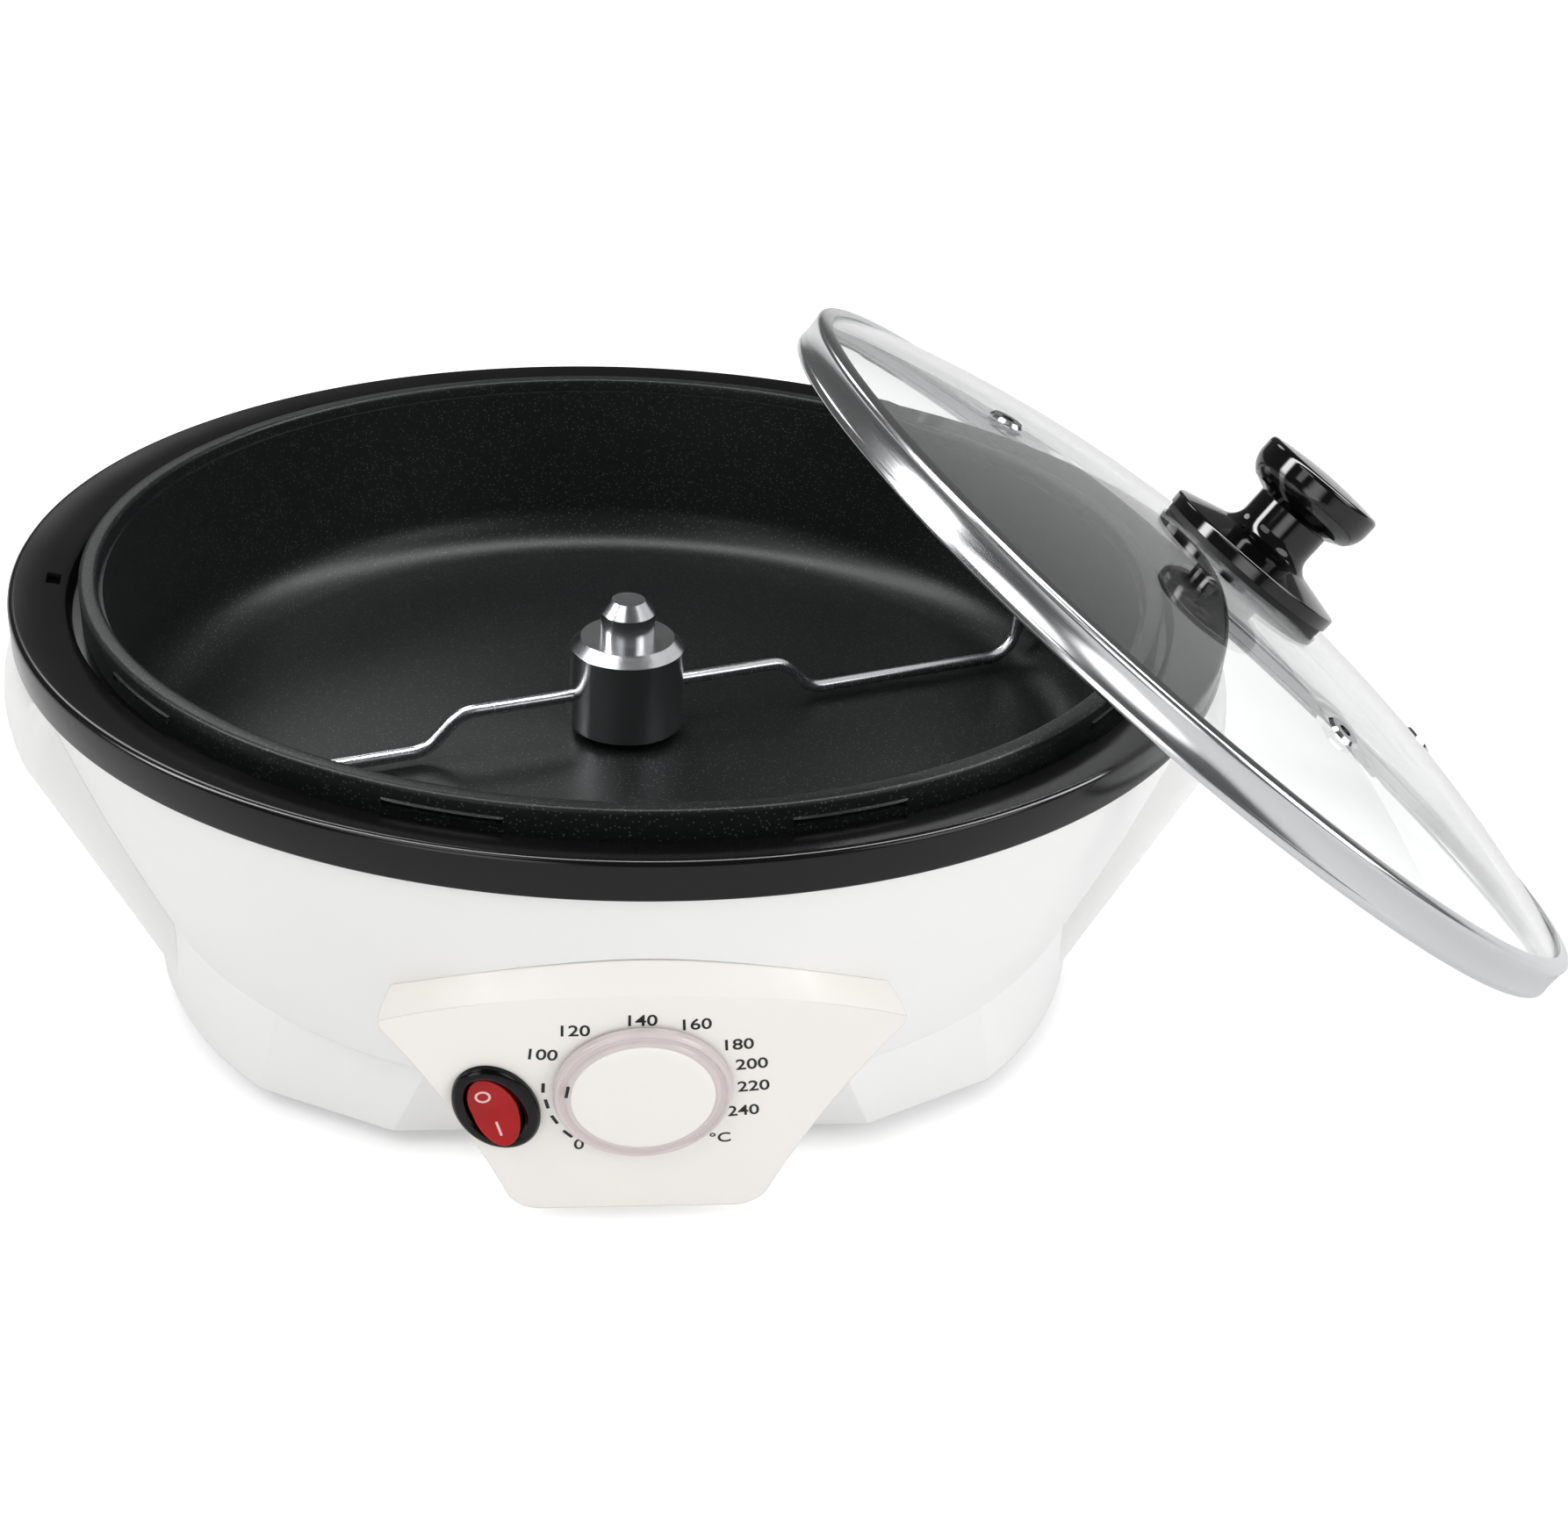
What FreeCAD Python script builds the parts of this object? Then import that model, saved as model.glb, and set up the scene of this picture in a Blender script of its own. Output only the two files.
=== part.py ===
"""Countertop coffee bean roaster: white moulded housing, heated pan with a driven stirrer, loose glass lid.

Millimetres and degrees. The row frame stands on the table: +Z is up, the origin is where the roaster's
axis meets the table, and the control panel looks along -Y. Every piece is one object of the document, and
its sizes are bound to the cells of the sheet called Sizes.
"""
import FreeCAD, Part
import math
import os
import Sketcher

V = FreeCAD.Vector
X_AXIS, Y_AXIS, Z_AXIS = V(1, 0, 0), V(0, 1, 0), V(0, 0, 1)

SIZES = {
    # housing: a bowl on a plinth with flats, and two moulded side grips
    "housing_wall": 2.6,
    "belly_tuck": 13.0,
    "belly_height": 38.0,
    "belly_bend": 900.0,
    "waist_tuck": 28.5,
    "plinth_height": 30.0,
    "plinth_tuck": 0.5,
    "front_flat_cut": 23.5,
    "front_flat_lean": 17.6,
    "corner_flat_cut": 7.2,
    "corner_flat_lean": 6.0,
    "corner_flat_azimuth": 27.4,
    "grip_swell_round": 19.0,
    "grip_top_swell": 0.8,
    "grip_top_drop": 3.5,
    "grip_knee_swell": 3.2,
    "grip_knee_drop": 22.0,
    "grip_foot_tuck": 4.0,
    "grip_foot_rise": 2.2,
    "grip_root_depth": 8.5,
    "grip_half_angle": 26.0,
    "grip_edge_round": 6.5,
    "post_radius": 5.0,
    "post_height": 28.0,
    "post_inset": 14.9,
    "post_azimuth": 41.8,
    # base cover, feet
    "cover_thickness": 2.4,
    "cover_gap": 0.6,
    "well_gap": 15.0,
    "well_face_z": 2.0,
    "well_depth": 4.0,
    "vent_count": 14,
    "vent_inset": 18.0,
    "vent_length": 20.0,
    "vent_width": 4.0,
    "foot_radius": 11.0,
    "foot_inset": 34.7,
    "foot_azimuth": 41.2,
    "foot_recess_radius": 5.0,
    "foot_recess_depth": 3.4,
    "foot_edge": 0.8,
    "foot_boss_radius": 4.5,
    "foot_boss_height": 7.5,
    "post_rib_length": 16.0,
    # trim ring, round the pan's rim
    "ring_channel_gap": 3.1,
    "ring_slope_width": 15.4,
    "ring_slope_rise": 3.9,
    "ring_step_height": 3.9,
    "ring_height": 11.0,
    "ring_overhang": 2.0,
    "ring_edge_round": 1.2,
    "ring_skin": 2.4,
    "ring_inner_tuck": 2.1,
    "ring_lip_gap": 2.2,
    "ring_lip_thickness": 2.2,
    "ring_lip_length": 3.5,
    "ring_step_run": 0.8,
    "hook_hole_width": 3.8,
    "hook_hole_length": 8.0,
    "hook_hole_inset": 4.2,
    "hook_hole_azimuth": 186.0,
    # pan, which sets the size of what stands round it
    "pan_rim_radius": 153.5,
    "pan_rim_width": 5.0,
    "pan_rim_height": 9.8,
    "pan_depth": 60.0,
    "pan_ledge_drop": 4.0,
    "pan_ledge_width": 1.1,
    "pan_wall": 2.6,
    "pan_wall_swell": 0.2,
    "pan_rim_edge": 0.8,
    "pan_floor_inset": 21.5,
    "pan_corner_round": 14.0,
    "pan_tube_radius": 9.5,
    "pan_tube_wall": 2.5,
    "pan_tube_height": 18.0,
    "pan_slot_count": 10,
    "pan_slot_azimuth": 252.0,
    "pan_slot_length": 29.0,
    "pan_slot_height": 2.4,
    "pan_slot_depth": 2.3,
    "pan_slot_rise": 3.6,
    # heater and what holds it to the pan
    "element_inset": 36.0,
    "element_tube_radius": 3.3,
    "element_gap": 12.0,
    "element_end_length": 26.0,
    "stud_inset": 14.0,
    "stud_radius": 2.0,
    "stud_length": 22.0,
    "clamp_width": 12.0,
    "clamp_thickness": 1.0,
    "clamp_overhang": 6.0,
    "nut_radius": 4.0,
    "nut_height": 3.0,
    "shield_overhang": 22.0,
    "shield_gap": 7.0,
    "shield_rim_height": 5.0,
    "shield_leg_gap": 1.0,
    "spacer_height": 5.0,
    "bead_height": 5.0,
    "bead_wall": 0.6,
    "clip_width": 6.0,
    "clip_gap": 0.1,
    "cutout_height": 8.0,
    "cutout_foot": 6.0,
    "shield_thickness": 0.8,
    "shield_bore": 14.0,
    "bulb_radius": 3.0,
    "bulb_length": 60.0,
    "bulb_offset": 52.0,
    "capillary_radius": 0.8,
    "capillary_x": -10.0,
    "capillary_drop": 5.0,
    "cutout_radius": 7.5,
    "cutout_inset": 22.0,
    # gear motor
    "motor_radius": 29.0,
    "motor_gap": 0.6,
    "motor_height": 22.0,
    "gearbox_flange": 2.0,
    "gearbox_height": 13.0,
    "bracket_length": 148.0,
    "bracket_width": 44.0,
    "bracket_thickness": 1.5,
    "motor_screw_inset": 7.0,
    "bracket_foot_length": 14.0,
    # drive shaft and stirrer
    "shaft_radius": 4.0,
    "shaft_seat": 10.0,
    "shaft_flat_depth": 1.0,
    "shaft_thread": 7.0,
    "running_gap": 0.04,
    "bush_drop": 4.0,
    "seal_height": 3.0,
    "circlip_drop": 5.0,
    "circlip_thickness": 1.0,
    "circlip_width": 2.5,
    "rod_seat": 4.0,
    "rod_azimuth": 20.0,
    "rod_tip_spread": 2.0,
    "hub_chamfer": 3.0,
    "hub_radius": 17.0,
    "hub_skirt_gap": 1.5,
    "hub_floor_gap": 3.0,
    "hub_tube_gap": 5.0,
    "hub_cap_thickness": 8.0,
    "cap_nut_radius": 8.0,
    "cap_nut_height": 12.0,
    "cap_nut_chamfer": 3.0,
    "cap_nut_side": 8.0,
    "rod_radius": 2.0,
    "rod_root_rise": 11.0,
    "rod_floor_gap": 1.5,
    "rod_wall_gap": 9.0,
    "rod_drop_radius": 52.0,
    "rod_tip_rise": 32.0,
    "rod_bend": 10.0,
    # control panel: its own frame is x across, s up the face and n outwards
    "panel_stand": 32.5,
    "panel_bottom_z": 6.5,
    "panel_lean": 9.7,
    "panel_wall": 2.6,
    "panel_bottom_half_width": 25.5,
    "panel_corner_half_width": 33.0,
    "panel_corner_s": 5.5,
    "panel_top_half_width": 62.5,
    "panel_top_s": 66.0,
    "panel_side_flare": 2.5,
    "panel_side_rise": 34.0,
    "arch_rise": 9.8,
    "arch_middle_drop": 3.1,
    "arch_end_drop": 5.7,
    "arch_middle_inset": 18.5,
    "hood_centre_z": 91.5,
    "hood_middle_drop": 10.5,
    "hood_end_drop": 13.0,
    "panel_corner_round": 9.5,
    "panel_side_bend": 300.0,
    "panel_depth": 70.0,
    "belly_rise": 1.2,
    "front_margin": 3.0,
    "window_bottom_inset": 4.5,
    "window_bottom_s": 9.0,
    "window_knee_half_width": 34.0,
    "window_knee_s": 22.0,
    "window_top_inset": 12.5,
    "window_top_s": 63.0,
    "window_front_n": -2.0,
    "panel_upper_screw_inset": 10.0,
    "panel_upper_screw_s": 55.0,
    "panel_upper_screw_n": -24.0,
    "panel_lower_screw_x": 26.0,
    "panel_lower_screw_s": 7.0,
    "panel_lower_screw_n": -38.0,
    "panel_boss_radius": 3.8,
    "panel_boss_length": 12.0,
    "hood_root_depth": 9.5,
    "hood_side_margin": 2.0,
    "roof_overrun": 1.4,
    "roof_lead": 0.2,
    "sink_end_back": 0.2,
    "sink_middle_back": 0.55,
    "sink_middle_down": 0.85,
    "sink_centre_down": 0.35,
    # thermostat and dial
    "dial_s": 44.2,
    "skirt_width": 3.0,
    "skirt_under_n": 0.8,
    "skirt_thickness": 1.6,
    "knob_radius": 18.8,
    "knob_hub_radius": 6.5,
    "knob_height": 2.6,
    "knob_edge_drop": 0.8,
    "knob_skin": 1.5,
    "pointer_length": 1.9,
    "pointer_width": 1.2,
    "pointer_height": 0.6,
    "pointer_azimuth": 176.0,
    "spindle_radius": 3.0,
    "spindle_seat": 9.4,
    "spindle_hole_gap": 1.5,
    "thermostat_width": 36.0,
    "thermostat_below": 22.2,
    "thermostat_above": 5.8,
    "thermostat_depth": 23.4,
    "thermostat_screw_offset": 14.0,
    "thermostat_screw_length": 8.0,
    "counterbore_depth": 1.6,
    "blade_width": 4.8,
    "blade_thickness": 0.8,
    "blade_length": 8.0,
    "blade_pitch": 6.0,
    # switch
    "switch_x": -35.5,
    "switch_s": 38.8,
    "switch_turn": 12.0,
    "bezel_side_lap": 2.2,
    "bezel_end_lap": 1.6,
    "bezel_height": 2.2,
    "switch_half_width": 8.0,
    "switch_half_height": 13.2,
    "switch_depth": 15.0,
    "switch_side_wall": 2.0,
    "switch_end_wall": 1.7,
    "recess_depth": 8.0,
    "rocker_side_gap": 0.3,
    "rocker_end_gap": 1.1,
    "rocker_end_n": 3.2,
    "rocker_middle_n": 1.4,
    "rocker_foot_n": -5.0,
    "rocker_foot_taper": 2.4,
    "rocker_rest_tilt": 11.0,
    "rocker_pin_radius": 1.2,
    "rocker_pin_seat": 1.2,
    # cord entry and wiring
    "gland_z": 21.0,
    "gland_bore": 3.6,
    "gland_wall": 2.6,
    "gland_flange_width": 2.8,
    "gland_flange_height": 3.0,
    "gland_length": 18.0,
    "block_width": 38.0,
    "block_depth": 17.0,
    "block_height": 13.0,
    "block_inset": 39.5,
    "lead_radius": 1.3,
    "lead_bend": 4.0,
    "lead_stub": 12.0,
    "block_screw_inset": 3.0,
    "block_screw_length": 15.0,
    "clamp_screw_x": 8.0,
    "clamp_screw_length": 6.0,
    "earth_stud_x": -42.0,
    "earth_stud_setback": 8.0,
    "earth_stud_height": 10.0,
    # screws
    "screw_radius": 1.7,
    "screw_head_radius": 3.2,
    "screw_head_height": 2.0,
    "base_screw_length": 14.0,
    "panel_screw_length": 18.0,
    "foot_screw_length": 11.0,
    "bracket_screw_length": 3.6,
    "motor_screw_length": 9.0,
    # lid, in its own frame: rim plane at 0, dome up
    "lid_inset": 2.5,
    "lid_band_height": 11.4,
    "lid_band_thickness": 0.8,
    "lid_band_lap": 1.5,
    "lid_lip_width": 4.5,
    "lid_bead_height": 0.8,
    "lid_glass_thickness": 4.0,
    "lid_rise": 24.1,
    "vent_edge_distance": 57.0,
    "vent_hole_radius": 2.6,
    "vent_flange_width": 3.0,
    "knob_flange_radius": 31.0,
    "knob_flange_height": 4.2,
    "knob_flange_edge": 0.9,
    "knob_foot_radius": 17.0,
    "knob_foot_height": 3.4,
    "knob_waist_radius": 12.5,
    "knob_waist_rise": 5.4,
    "knob_head_radius": 20.8,
    "knob_head_height": 15.5,
    "knob_head_round": 1.8,
    "knob_bowl_radius": 17.5,
    "knob_under_rise": 2.2,
    "knob_bowl_rise": 7.0,
    "knob_crown_rise": 1.2,
    "knob_total_height": 36.0,
    "gasket_thickness": 1.2,
    "gasket_inset": 1.0,
    "washer_radius": 16.0,
    "washer_thickness": 1.5,
    "lid_screw_radius": 2.5,
    "lid_screw_length": 16.0,
    "lid_screw_head_radius": 5.0,
    "lid_screw_head_height": 2.5,
    "vent_flange_height": 0.9,
    "vent_sleeve_wall": 0.6,
    "lean_touch_gap": 3.93,
    "lid_azimuth": 4.0,
    "lean_gap": 0.5,
}


class Size:
    """A number together with the sheet formula that it comes from."""

    def __init__(self, number, formula):
        self.number = float(number)
        self.formula = formula

    def __add__(self, other):
        return Size(self.number + number(other), f"({self.formula} + {formula(other)})")

    def __radd__(self, other):
        return Size(number(other) + self.number, f"({formula(other)} + {self.formula})")

    def __sub__(self, other):
        return Size(self.number - number(other), f"({self.formula} - {formula(other)})")

    def __rsub__(self, other):
        return Size(number(other) - self.number, f"({formula(other)} - {self.formula})")

    def __mul__(self, other):
        return Size(self.number * number(other), f"({self.formula} * {formula(other)})")

    def __rmul__(self, other):
        return Size(number(other) * self.number, f"({formula(other)} * {self.formula})")

    def __truediv__(self, other):
        return Size(self.number / number(other), f"({self.formula} / {formula(other)})")

    def __rtruediv__(self, other):
        return Size(number(other) / self.number, f"({formula(other)} / {self.formula})")

    def __neg__(self):
        return Size(-self.number, f"(0 - {self.formula})")


def number(value):
    return value.number if isinstance(value, Size) else float(value)


def formula(value):
    return value.formula if isinstance(value, Size) else f"({float(value):.9g})"


def sine(angle):
    return Size(math.sin(math.radians(number(angle))), f"sin({formula(angle)} * 1deg)")


def cosine(angle):
    return Size(math.cos(math.radians(number(angle))), f"cos({formula(angle)} * 1deg)")


def arc_sine(share):
    return Size(math.degrees(math.asin(number(share))), f"asin({formula(share)}) / 1deg")


def arc_tangent(share):
    return Size(math.degrees(math.atan(number(share))), f"atan({formula(share)}) / 1deg")


def tangent(angle):
    return Size(math.tan(math.radians(number(angle))), f"tan({formula(angle)} * 1deg)")


def root(value):
    return Size(math.sqrt(number(value)), f"sqrt({formula(value)})")


doc = FreeCAD.newDocument("bean_roaster")
sheet = doc.addObject("Spreadsheet::Sheet", "Sizes")
VALUES = {}


class SizeNames:
    """Gives each size by its name, as S.pan_floor_z; a new name adds a cell that follows from others."""

    def __getattr__(self, name):
        return Size(VALUES[name], f"Sizes.{name}")

    def __setattr__(self, name, size):
        VALUES[name] = number(size)
        row = len(VALUES)
        sheet.set(f"A{row}", name)
        sheet.set(f"B{row}", "=" + formula(size).replace("Sizes.", ""))
        sheet.setAlias(f"B{row}", name)


S = SizeNames()
for size_name, size_value in SIZES.items():
    setattr(S, size_name, size_value)

# heights, from the table up through the gear motor and the heater to the pan and the rim round it
S.housing_bottom_z = S.well_face_z + S.well_depth
S.motor_bottom_z = S.well_face_z + S.cover_thickness + S.motor_gap
S.gearbox_bottom_z = S.motor_bottom_z + S.motor_height
S.gearbox_top_z = S.gearbox_bottom_z + S.gearbox_height
S.shield_z = S.gearbox_top_z + S.shield_gap
S.clamp_z = S.shield_z + S.shield_thickness + S.spacer_height + S.nut_height
S.pan_floor_z = S.clamp_z + S.clamp_thickness + S.element_tube_radius * 2 + S.pan_wall
S.pan_rim_z = S.pan_floor_z + S.pan_depth
S.pan_ledge_z = S.pan_rim_z - S.pan_ledge_drop
S.pan_tube_top_z = S.pan_floor_z + S.pan_tube_height
S.ring_channel_z = S.pan_rim_z - S.pan_rim_height
S.ring_slope_z = S.ring_channel_z + S.ring_step_height
S.ring_top_z = S.ring_slope_z + S.ring_slope_rise
S.pan_slot_z = S.ring_channel_z + S.pan_slot_rise
S.housing_rim_z = S.ring_top_z - S.ring_height
S.ring_lip_bottom_z = S.housing_rim_z - S.ring_lip_length
S.grip_top_z = S.housing_rim_z - S.grip_top_drop
S.grip_knee_z = S.grip_top_z - S.grip_knee_drop
S.grip_foot_z = S.housing_bottom_z + S.grip_foot_rise
S.waist_z = S.housing_bottom_z + S.plinth_height
S.belly_z = S.waist_z + S.belly_height
S.post_top_z = S.housing_bottom_z + S.post_height
S.shaft_bottom_z = S.gearbox_top_z - S.shaft_seat
S.bush_bottom_z = S.pan_floor_z - S.bush_drop
S.circlip_z = S.bush_bottom_z - S.circlip_drop
S.hub_bottom_z = S.pan_floor_z + S.hub_floor_gap
S.hub_top_z = S.pan_tube_top_z + S.hub_tube_gap + S.hub_cap_thickness
S.shaft_top_z = S.hub_top_z + S.shaft_thread
S.rod_root_z = S.hub_bottom_z + S.rod_root_rise
S.rod_tip_z = S.pan_floor_z + S.rod_tip_rise

# distances from the axis, from the pan's rim outwards to the ring and inwards to the heater
S.pan_mouth_radius = S.pan_rim_radius - S.pan_rim_width
S.pan_ledge_radius = S.pan_mouth_radius - S.pan_ledge_width
S.pan_floor_radius = S.pan_rim_radius - S.pan_floor_inset
S.pan_tube_bore = S.pan_tube_radius - S.pan_tube_wall
S.ring_inner_radius = S.pan_rim_radius - S.ring_inner_tuck
S.ring_slope_radius = S.pan_rim_radius + S.ring_channel_gap
S.ring_radius = S.ring_slope_radius + S.ring_slope_width
S.hook_hole_radius = S.ring_slope_radius + S.hook_hole_inset
S.housing_rim_radius = S.ring_radius - S.ring_overhang
S.ring_lip_radius = S.housing_rim_radius - S.housing_wall - S.ring_lip_gap
S.belly_radius = S.housing_rim_radius - S.belly_tuck
S.waist_radius = S.housing_rim_radius - S.waist_tuck
S.plinth_radius = S.waist_radius - S.plinth_tuck
S.grip_top_radius = S.housing_rim_radius + S.grip_top_swell
S.grip_knee_radius = S.housing_rim_radius + S.grip_knee_swell
S.grip_foot_radius = S.waist_radius - S.grip_foot_tuck
S.front_flat_reach = S.plinth_radius - S.front_flat_cut
S.corner_flat_reach = S.plinth_radius - S.corner_flat_cut
S.post_reach = S.plinth_radius - S.post_inset
S.foot_reach = S.plinth_radius - S.foot_inset
S.panel_bottom_y = 0 - S.front_flat_reach - S.panel_stand
S.hood_root_reach = S.front_flat_reach - S.hood_root_depth
S.block_y = S.front_flat_reach - S.block_inset
S.earth_stud_y = S.block_y + S.earth_stud_setback
S.element_circle = S.pan_floor_radius - S.element_inset
S.stud_circle = S.element_circle - S.stud_inset
S.shield_radius = S.element_circle + S.shield_overhang
S.cutout_circle = S.stud_circle - S.cutout_inset
S.rod_reach = S.pan_floor_radius + S.pan_corner_round - S.rod_wall_gap
S.gearbox_radius = S.motor_radius + S.gearbox_flange
S.motor_screw_offset = S.gearbox_radius - S.motor_screw_inset
S.well_radius = S.motor_radius + S.well_gap
S.vent_radius = S.well_radius + S.vent_inset
S.lid_radius = S.pan_rim_radius - S.lid_inset
S.vent_circle = S.lid_radius - S.vent_edge_distance

# the panel's fittings, and the lid's heights over its rim
S.panel_side_half_width = S.panel_top_half_width + S.panel_side_flare
S.panel_side_s = S.panel_top_s + S.panel_side_rise
S.arch_middle_x = S.panel_top_half_width - S.arch_middle_inset
S.panel_upper_screw_x = S.panel_top_half_width - S.panel_upper_screw_inset
S.window_top_half_width = S.panel_top_half_width - S.window_top_inset
S.window_bottom_half_width = S.panel_bottom_half_width - S.window_bottom_inset
S.arch_centre_s = S.panel_top_s + S.arch_rise
S.arch_middle_s = S.arch_centre_s - S.arch_middle_drop
S.arch_end_s = S.arch_middle_s - S.arch_end_drop
S.hood_middle_z = S.hood_centre_z - S.hood_middle_drop
S.hood_end_z = S.hood_middle_z - S.hood_end_drop
S.skirt_radius = S.knob_radius + S.skirt_width
S.skirt_face_n = S.skirt_under_n + S.skirt_thickness
S.knob_face_n = S.skirt_face_n + S.knob_height
S.knob_edge_n = S.knob_face_n - S.knob_edge_drop
S.spindle_end_n = S.knob_face_n - S.knob_skin
S.spindle_root_n = 0 - S.panel_wall - S.spindle_seat
S.spindle_hole_radius = S.spindle_radius + S.spindle_hole_gap
S.thermostat_bottom_s = S.dial_s - S.thermostat_below
S.thermostat_top_s = S.dial_s + S.thermostat_above
S.thermostat_rear_n = 0 - S.panel_wall - S.thermostat_depth
S.bezel_half_width = S.switch_half_width + S.bezel_side_lap
S.bezel_half_height = S.switch_half_height + S.bezel_end_lap
S.recess_half_width = S.switch_half_width - S.switch_side_wall
S.recess_half_height = S.switch_half_height - S.switch_end_wall
S.rocker_half_width = S.recess_half_width - S.rocker_side_gap
S.rocker_half_height = S.recess_half_height - S.rocker_end_gap
S.rocker_foot_half_height = S.rocker_half_height - S.rocker_foot_taper
S.rocker_pin_half_length = S.recess_half_width + S.rocker_pin_seat
S.gland_radius = S.gland_bore + S.gland_wall
S.gland_flange_radius = S.gland_radius + S.gland_flange_width
S.block_screw_x = S.block_width / 2 - S.block_screw_inset
S.lid_glass_edge_top = S.lid_band_height - S.lid_band_lap
S.lid_apex = S.lid_glass_edge_top + S.lid_rise
S.vent_flange_radius = S.vent_hole_radius + S.vent_flange_width
S.vent_sleeve_bore = S.vent_hole_radius - S.vent_sleeve_wall
doc.recompute()

NODES = {}


def node(name, piece):
    """Names a finished piece, which becomes one STEP file."""
    piece.Label = name
    NODES[name] = piece
    return piece


def bind(piece, **sizes):
    for name, size in sizes.items():
        setattr(piece, name, number(size))
        piece.setExpression(name, formula(size))


def turned(*turns):
    """The rotation made by turns of (axis, degrees), the last one first."""
    rotation = FreeCAD.Rotation()
    for axis, angle in turns:
        rotation = rotation.multiply(FreeCAD.Rotation(axis, number(angle)))
    return rotation


def place(piece, x=0, y=0, z=0, rotation=None):
    piece.Placement = FreeCAD.Placement(V(number(x), number(y), number(z)), rotation or turned())
    for axis, size in (("x", x), ("y", y), ("z", z)):
        if isinstance(size, Size):
            piece.setExpression(f"Placement.Base.{axis}", size.formula)
    return piece


# ---------------------------------------------------------------- ways of making a piece

def origin_plane(body, role):
    return next(feature for feature in body.Origin.OriginFeatures if feature.Role == role)


def arc_centre(start, end, radius, side):
    """Centre of the short arc from start to end, on the left of the way for side 1 and the right for -1."""
    along = end.sub(start)
    rise = math.sqrt(max(radius * radius - along.Length ** 2 / 4, 0))
    left = V(-along.y, along.x, 0).normalize()
    return start.add(end).multiply(0.5).add(left.multiply(side * rise))


def draw(body, role, outline, arcs=None, offset=None):
    """A sketch of a closed outline of (x, y) sizes; arcs holds side index: (radius, side)."""
    arcs = arcs or {}
    sketch = body.newObject("Sketcher::SketchObject", body.Name + "_outline")
    sketch.AttachmentSupport = [(origin_plane(body, role), "")]
    sketch.MapMode = "FlatFace"
    if offset is not None:
        sketch.AttachmentOffset = FreeCAD.Placement(V(0, 0, number(offset)), FreeCAD.Rotation())
    corners = [V(number(x), number(y), 0) for x, y in outline]
    first, last = [], []
    for i, start in enumerate(corners):
        end = corners[(i + 1) % len(corners)]
        if i in arcs:
            radius, side = number(arcs[i][0]), arcs[i][1]
            centre = arc_centre(start, end, radius, side)
            begin, finish = (start, end) if side > 0 else (end, start)
            angles = [math.atan2(p.y - centre.y, p.x - centre.x) for p in (begin, finish)]
            circle = Part.Circle(centre, Z_AXIS, radius)
            sketch.addGeometry(Part.ArcOfCircle(circle, angles[0], angles[1]), False)
            first.append(1 if side > 0 else 2)
            last.append(2 if side > 0 else 1)
        else:
            sketch.addGeometry(Part.LineSegment(start, end), False)
            first.append(1)
            last.append(2)
    count = len(corners)
    for i in range(count):
        after = (i + 1) % count
        sketch.addConstraint(Sketcher.Constraint("Coincident", i, last[i], after, first[after]))
    for i, (x, y) in enumerate(outline):
        for kind, size in (("DistanceX", x), ("DistanceY", y)):
            index = sketch.addConstraint(Sketcher.Constraint(kind, -1, 1, i, first[i], number(size)))
            sketch.setExpression(f"Constraints[{index}]", formula(size))
    for i, (radius, side) in arcs.items():
        index = sketch.addConstraint(Sketcher.Constraint("Radius", i, number(radius)))
        sketch.setExpression(f"Constraints[{index}]", formula(radius))
    return sketch


def revolved(name, outline, arcs=None, angle=360.0):
    """A body of revolution about Z; outline is (radius, height), and angle is centred on +X."""
    body = doc.addObject("PartDesign::Body", name)
    sketch = draw(body, "XZ_Plane", outline, arcs)
    turn = body.newObject("PartDesign::Revolution", name + "_turn")
    turn.Profile = sketch
    turn.ReferenceAxis = (sketch, ["V_Axis"])
    bind(turn, Angle=angle)
    turn.Midplane = number(angle) < 360
    return body


def extruded(name, outline, length, arcs=None):
    """A body from a flat outline in XY, upwards by length."""
    body = doc.addObject("PartDesign::Body", name)
    sketch = draw(body, "XY_Plane", outline, arcs)
    pad = body.newObject("PartDesign::Pad", name + "_pad")
    pad.Profile = sketch
    bind(pad, Length=length)
    return body


def round_edges(body, radius, choose):
    """Fillets the edges of a body that choose picks."""
    doc.recompute()
    base = body.Tip
    names = [f"Edge{i}" for i, edge in enumerate(base.Shape.Edges, start=1) if choose(edge)]
    fillet = body.newObject("PartDesign::Fillet", body.Name + "_round")
    fillet.Base = (base, names)
    bind(fillet, Radius=radius)
    return body


def cylinder(name, radius, height, x=0, y=0, z=0, rotation=None):
    piece = doc.addObject("Part::Cylinder", name)
    bind(piece, Radius=radius, Height=height)
    return place(piece, x, y, z, rotation)


def box(name, length, width, height, x=0, y=0, z=0):
    """A box whose foot is centred on x, y."""
    piece = doc.addObject("Part::Box", name)
    bind(piece, Length=length, Width=width, Height=height)
    return place(piece, x - length / 2, y - width / 2, z)


def tube(name, outer, inner, height, x=0, y=0, z=0, rotation=None):
    wall = cylinder(name + "_outside", outer, height)
    bore = cylinder(name + "_bore", inner, height)
    return place(cut(name, wall, bore), x, y, z, rotation)


def cut(name, base, tool):
    piece = doc.addObject("Part::Cut", name)
    piece.Base = base
    piece.Tool = tool
    return piece


def common(name, base, tool):
    piece = doc.addObject("Part::Common", name)
    piece.Base = base
    piece.Tool = tool
    return piece


def fused(name, pieces):
    piece = doc.addObject("Part::MultiFuse", name)
    piece.Shapes = pieces
    piece.Refine = True
    return piece


def together(name, pieces):
    """Separate solids that share one node."""
    piece = doc.addObject("Part::Compound", name)
    piece.Links = pieces
    return piece


def frame_at(x, y, z, *turns):
    return FreeCAD.Placement(V(number(x), number(y), number(z)), turned(*turns))


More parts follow.
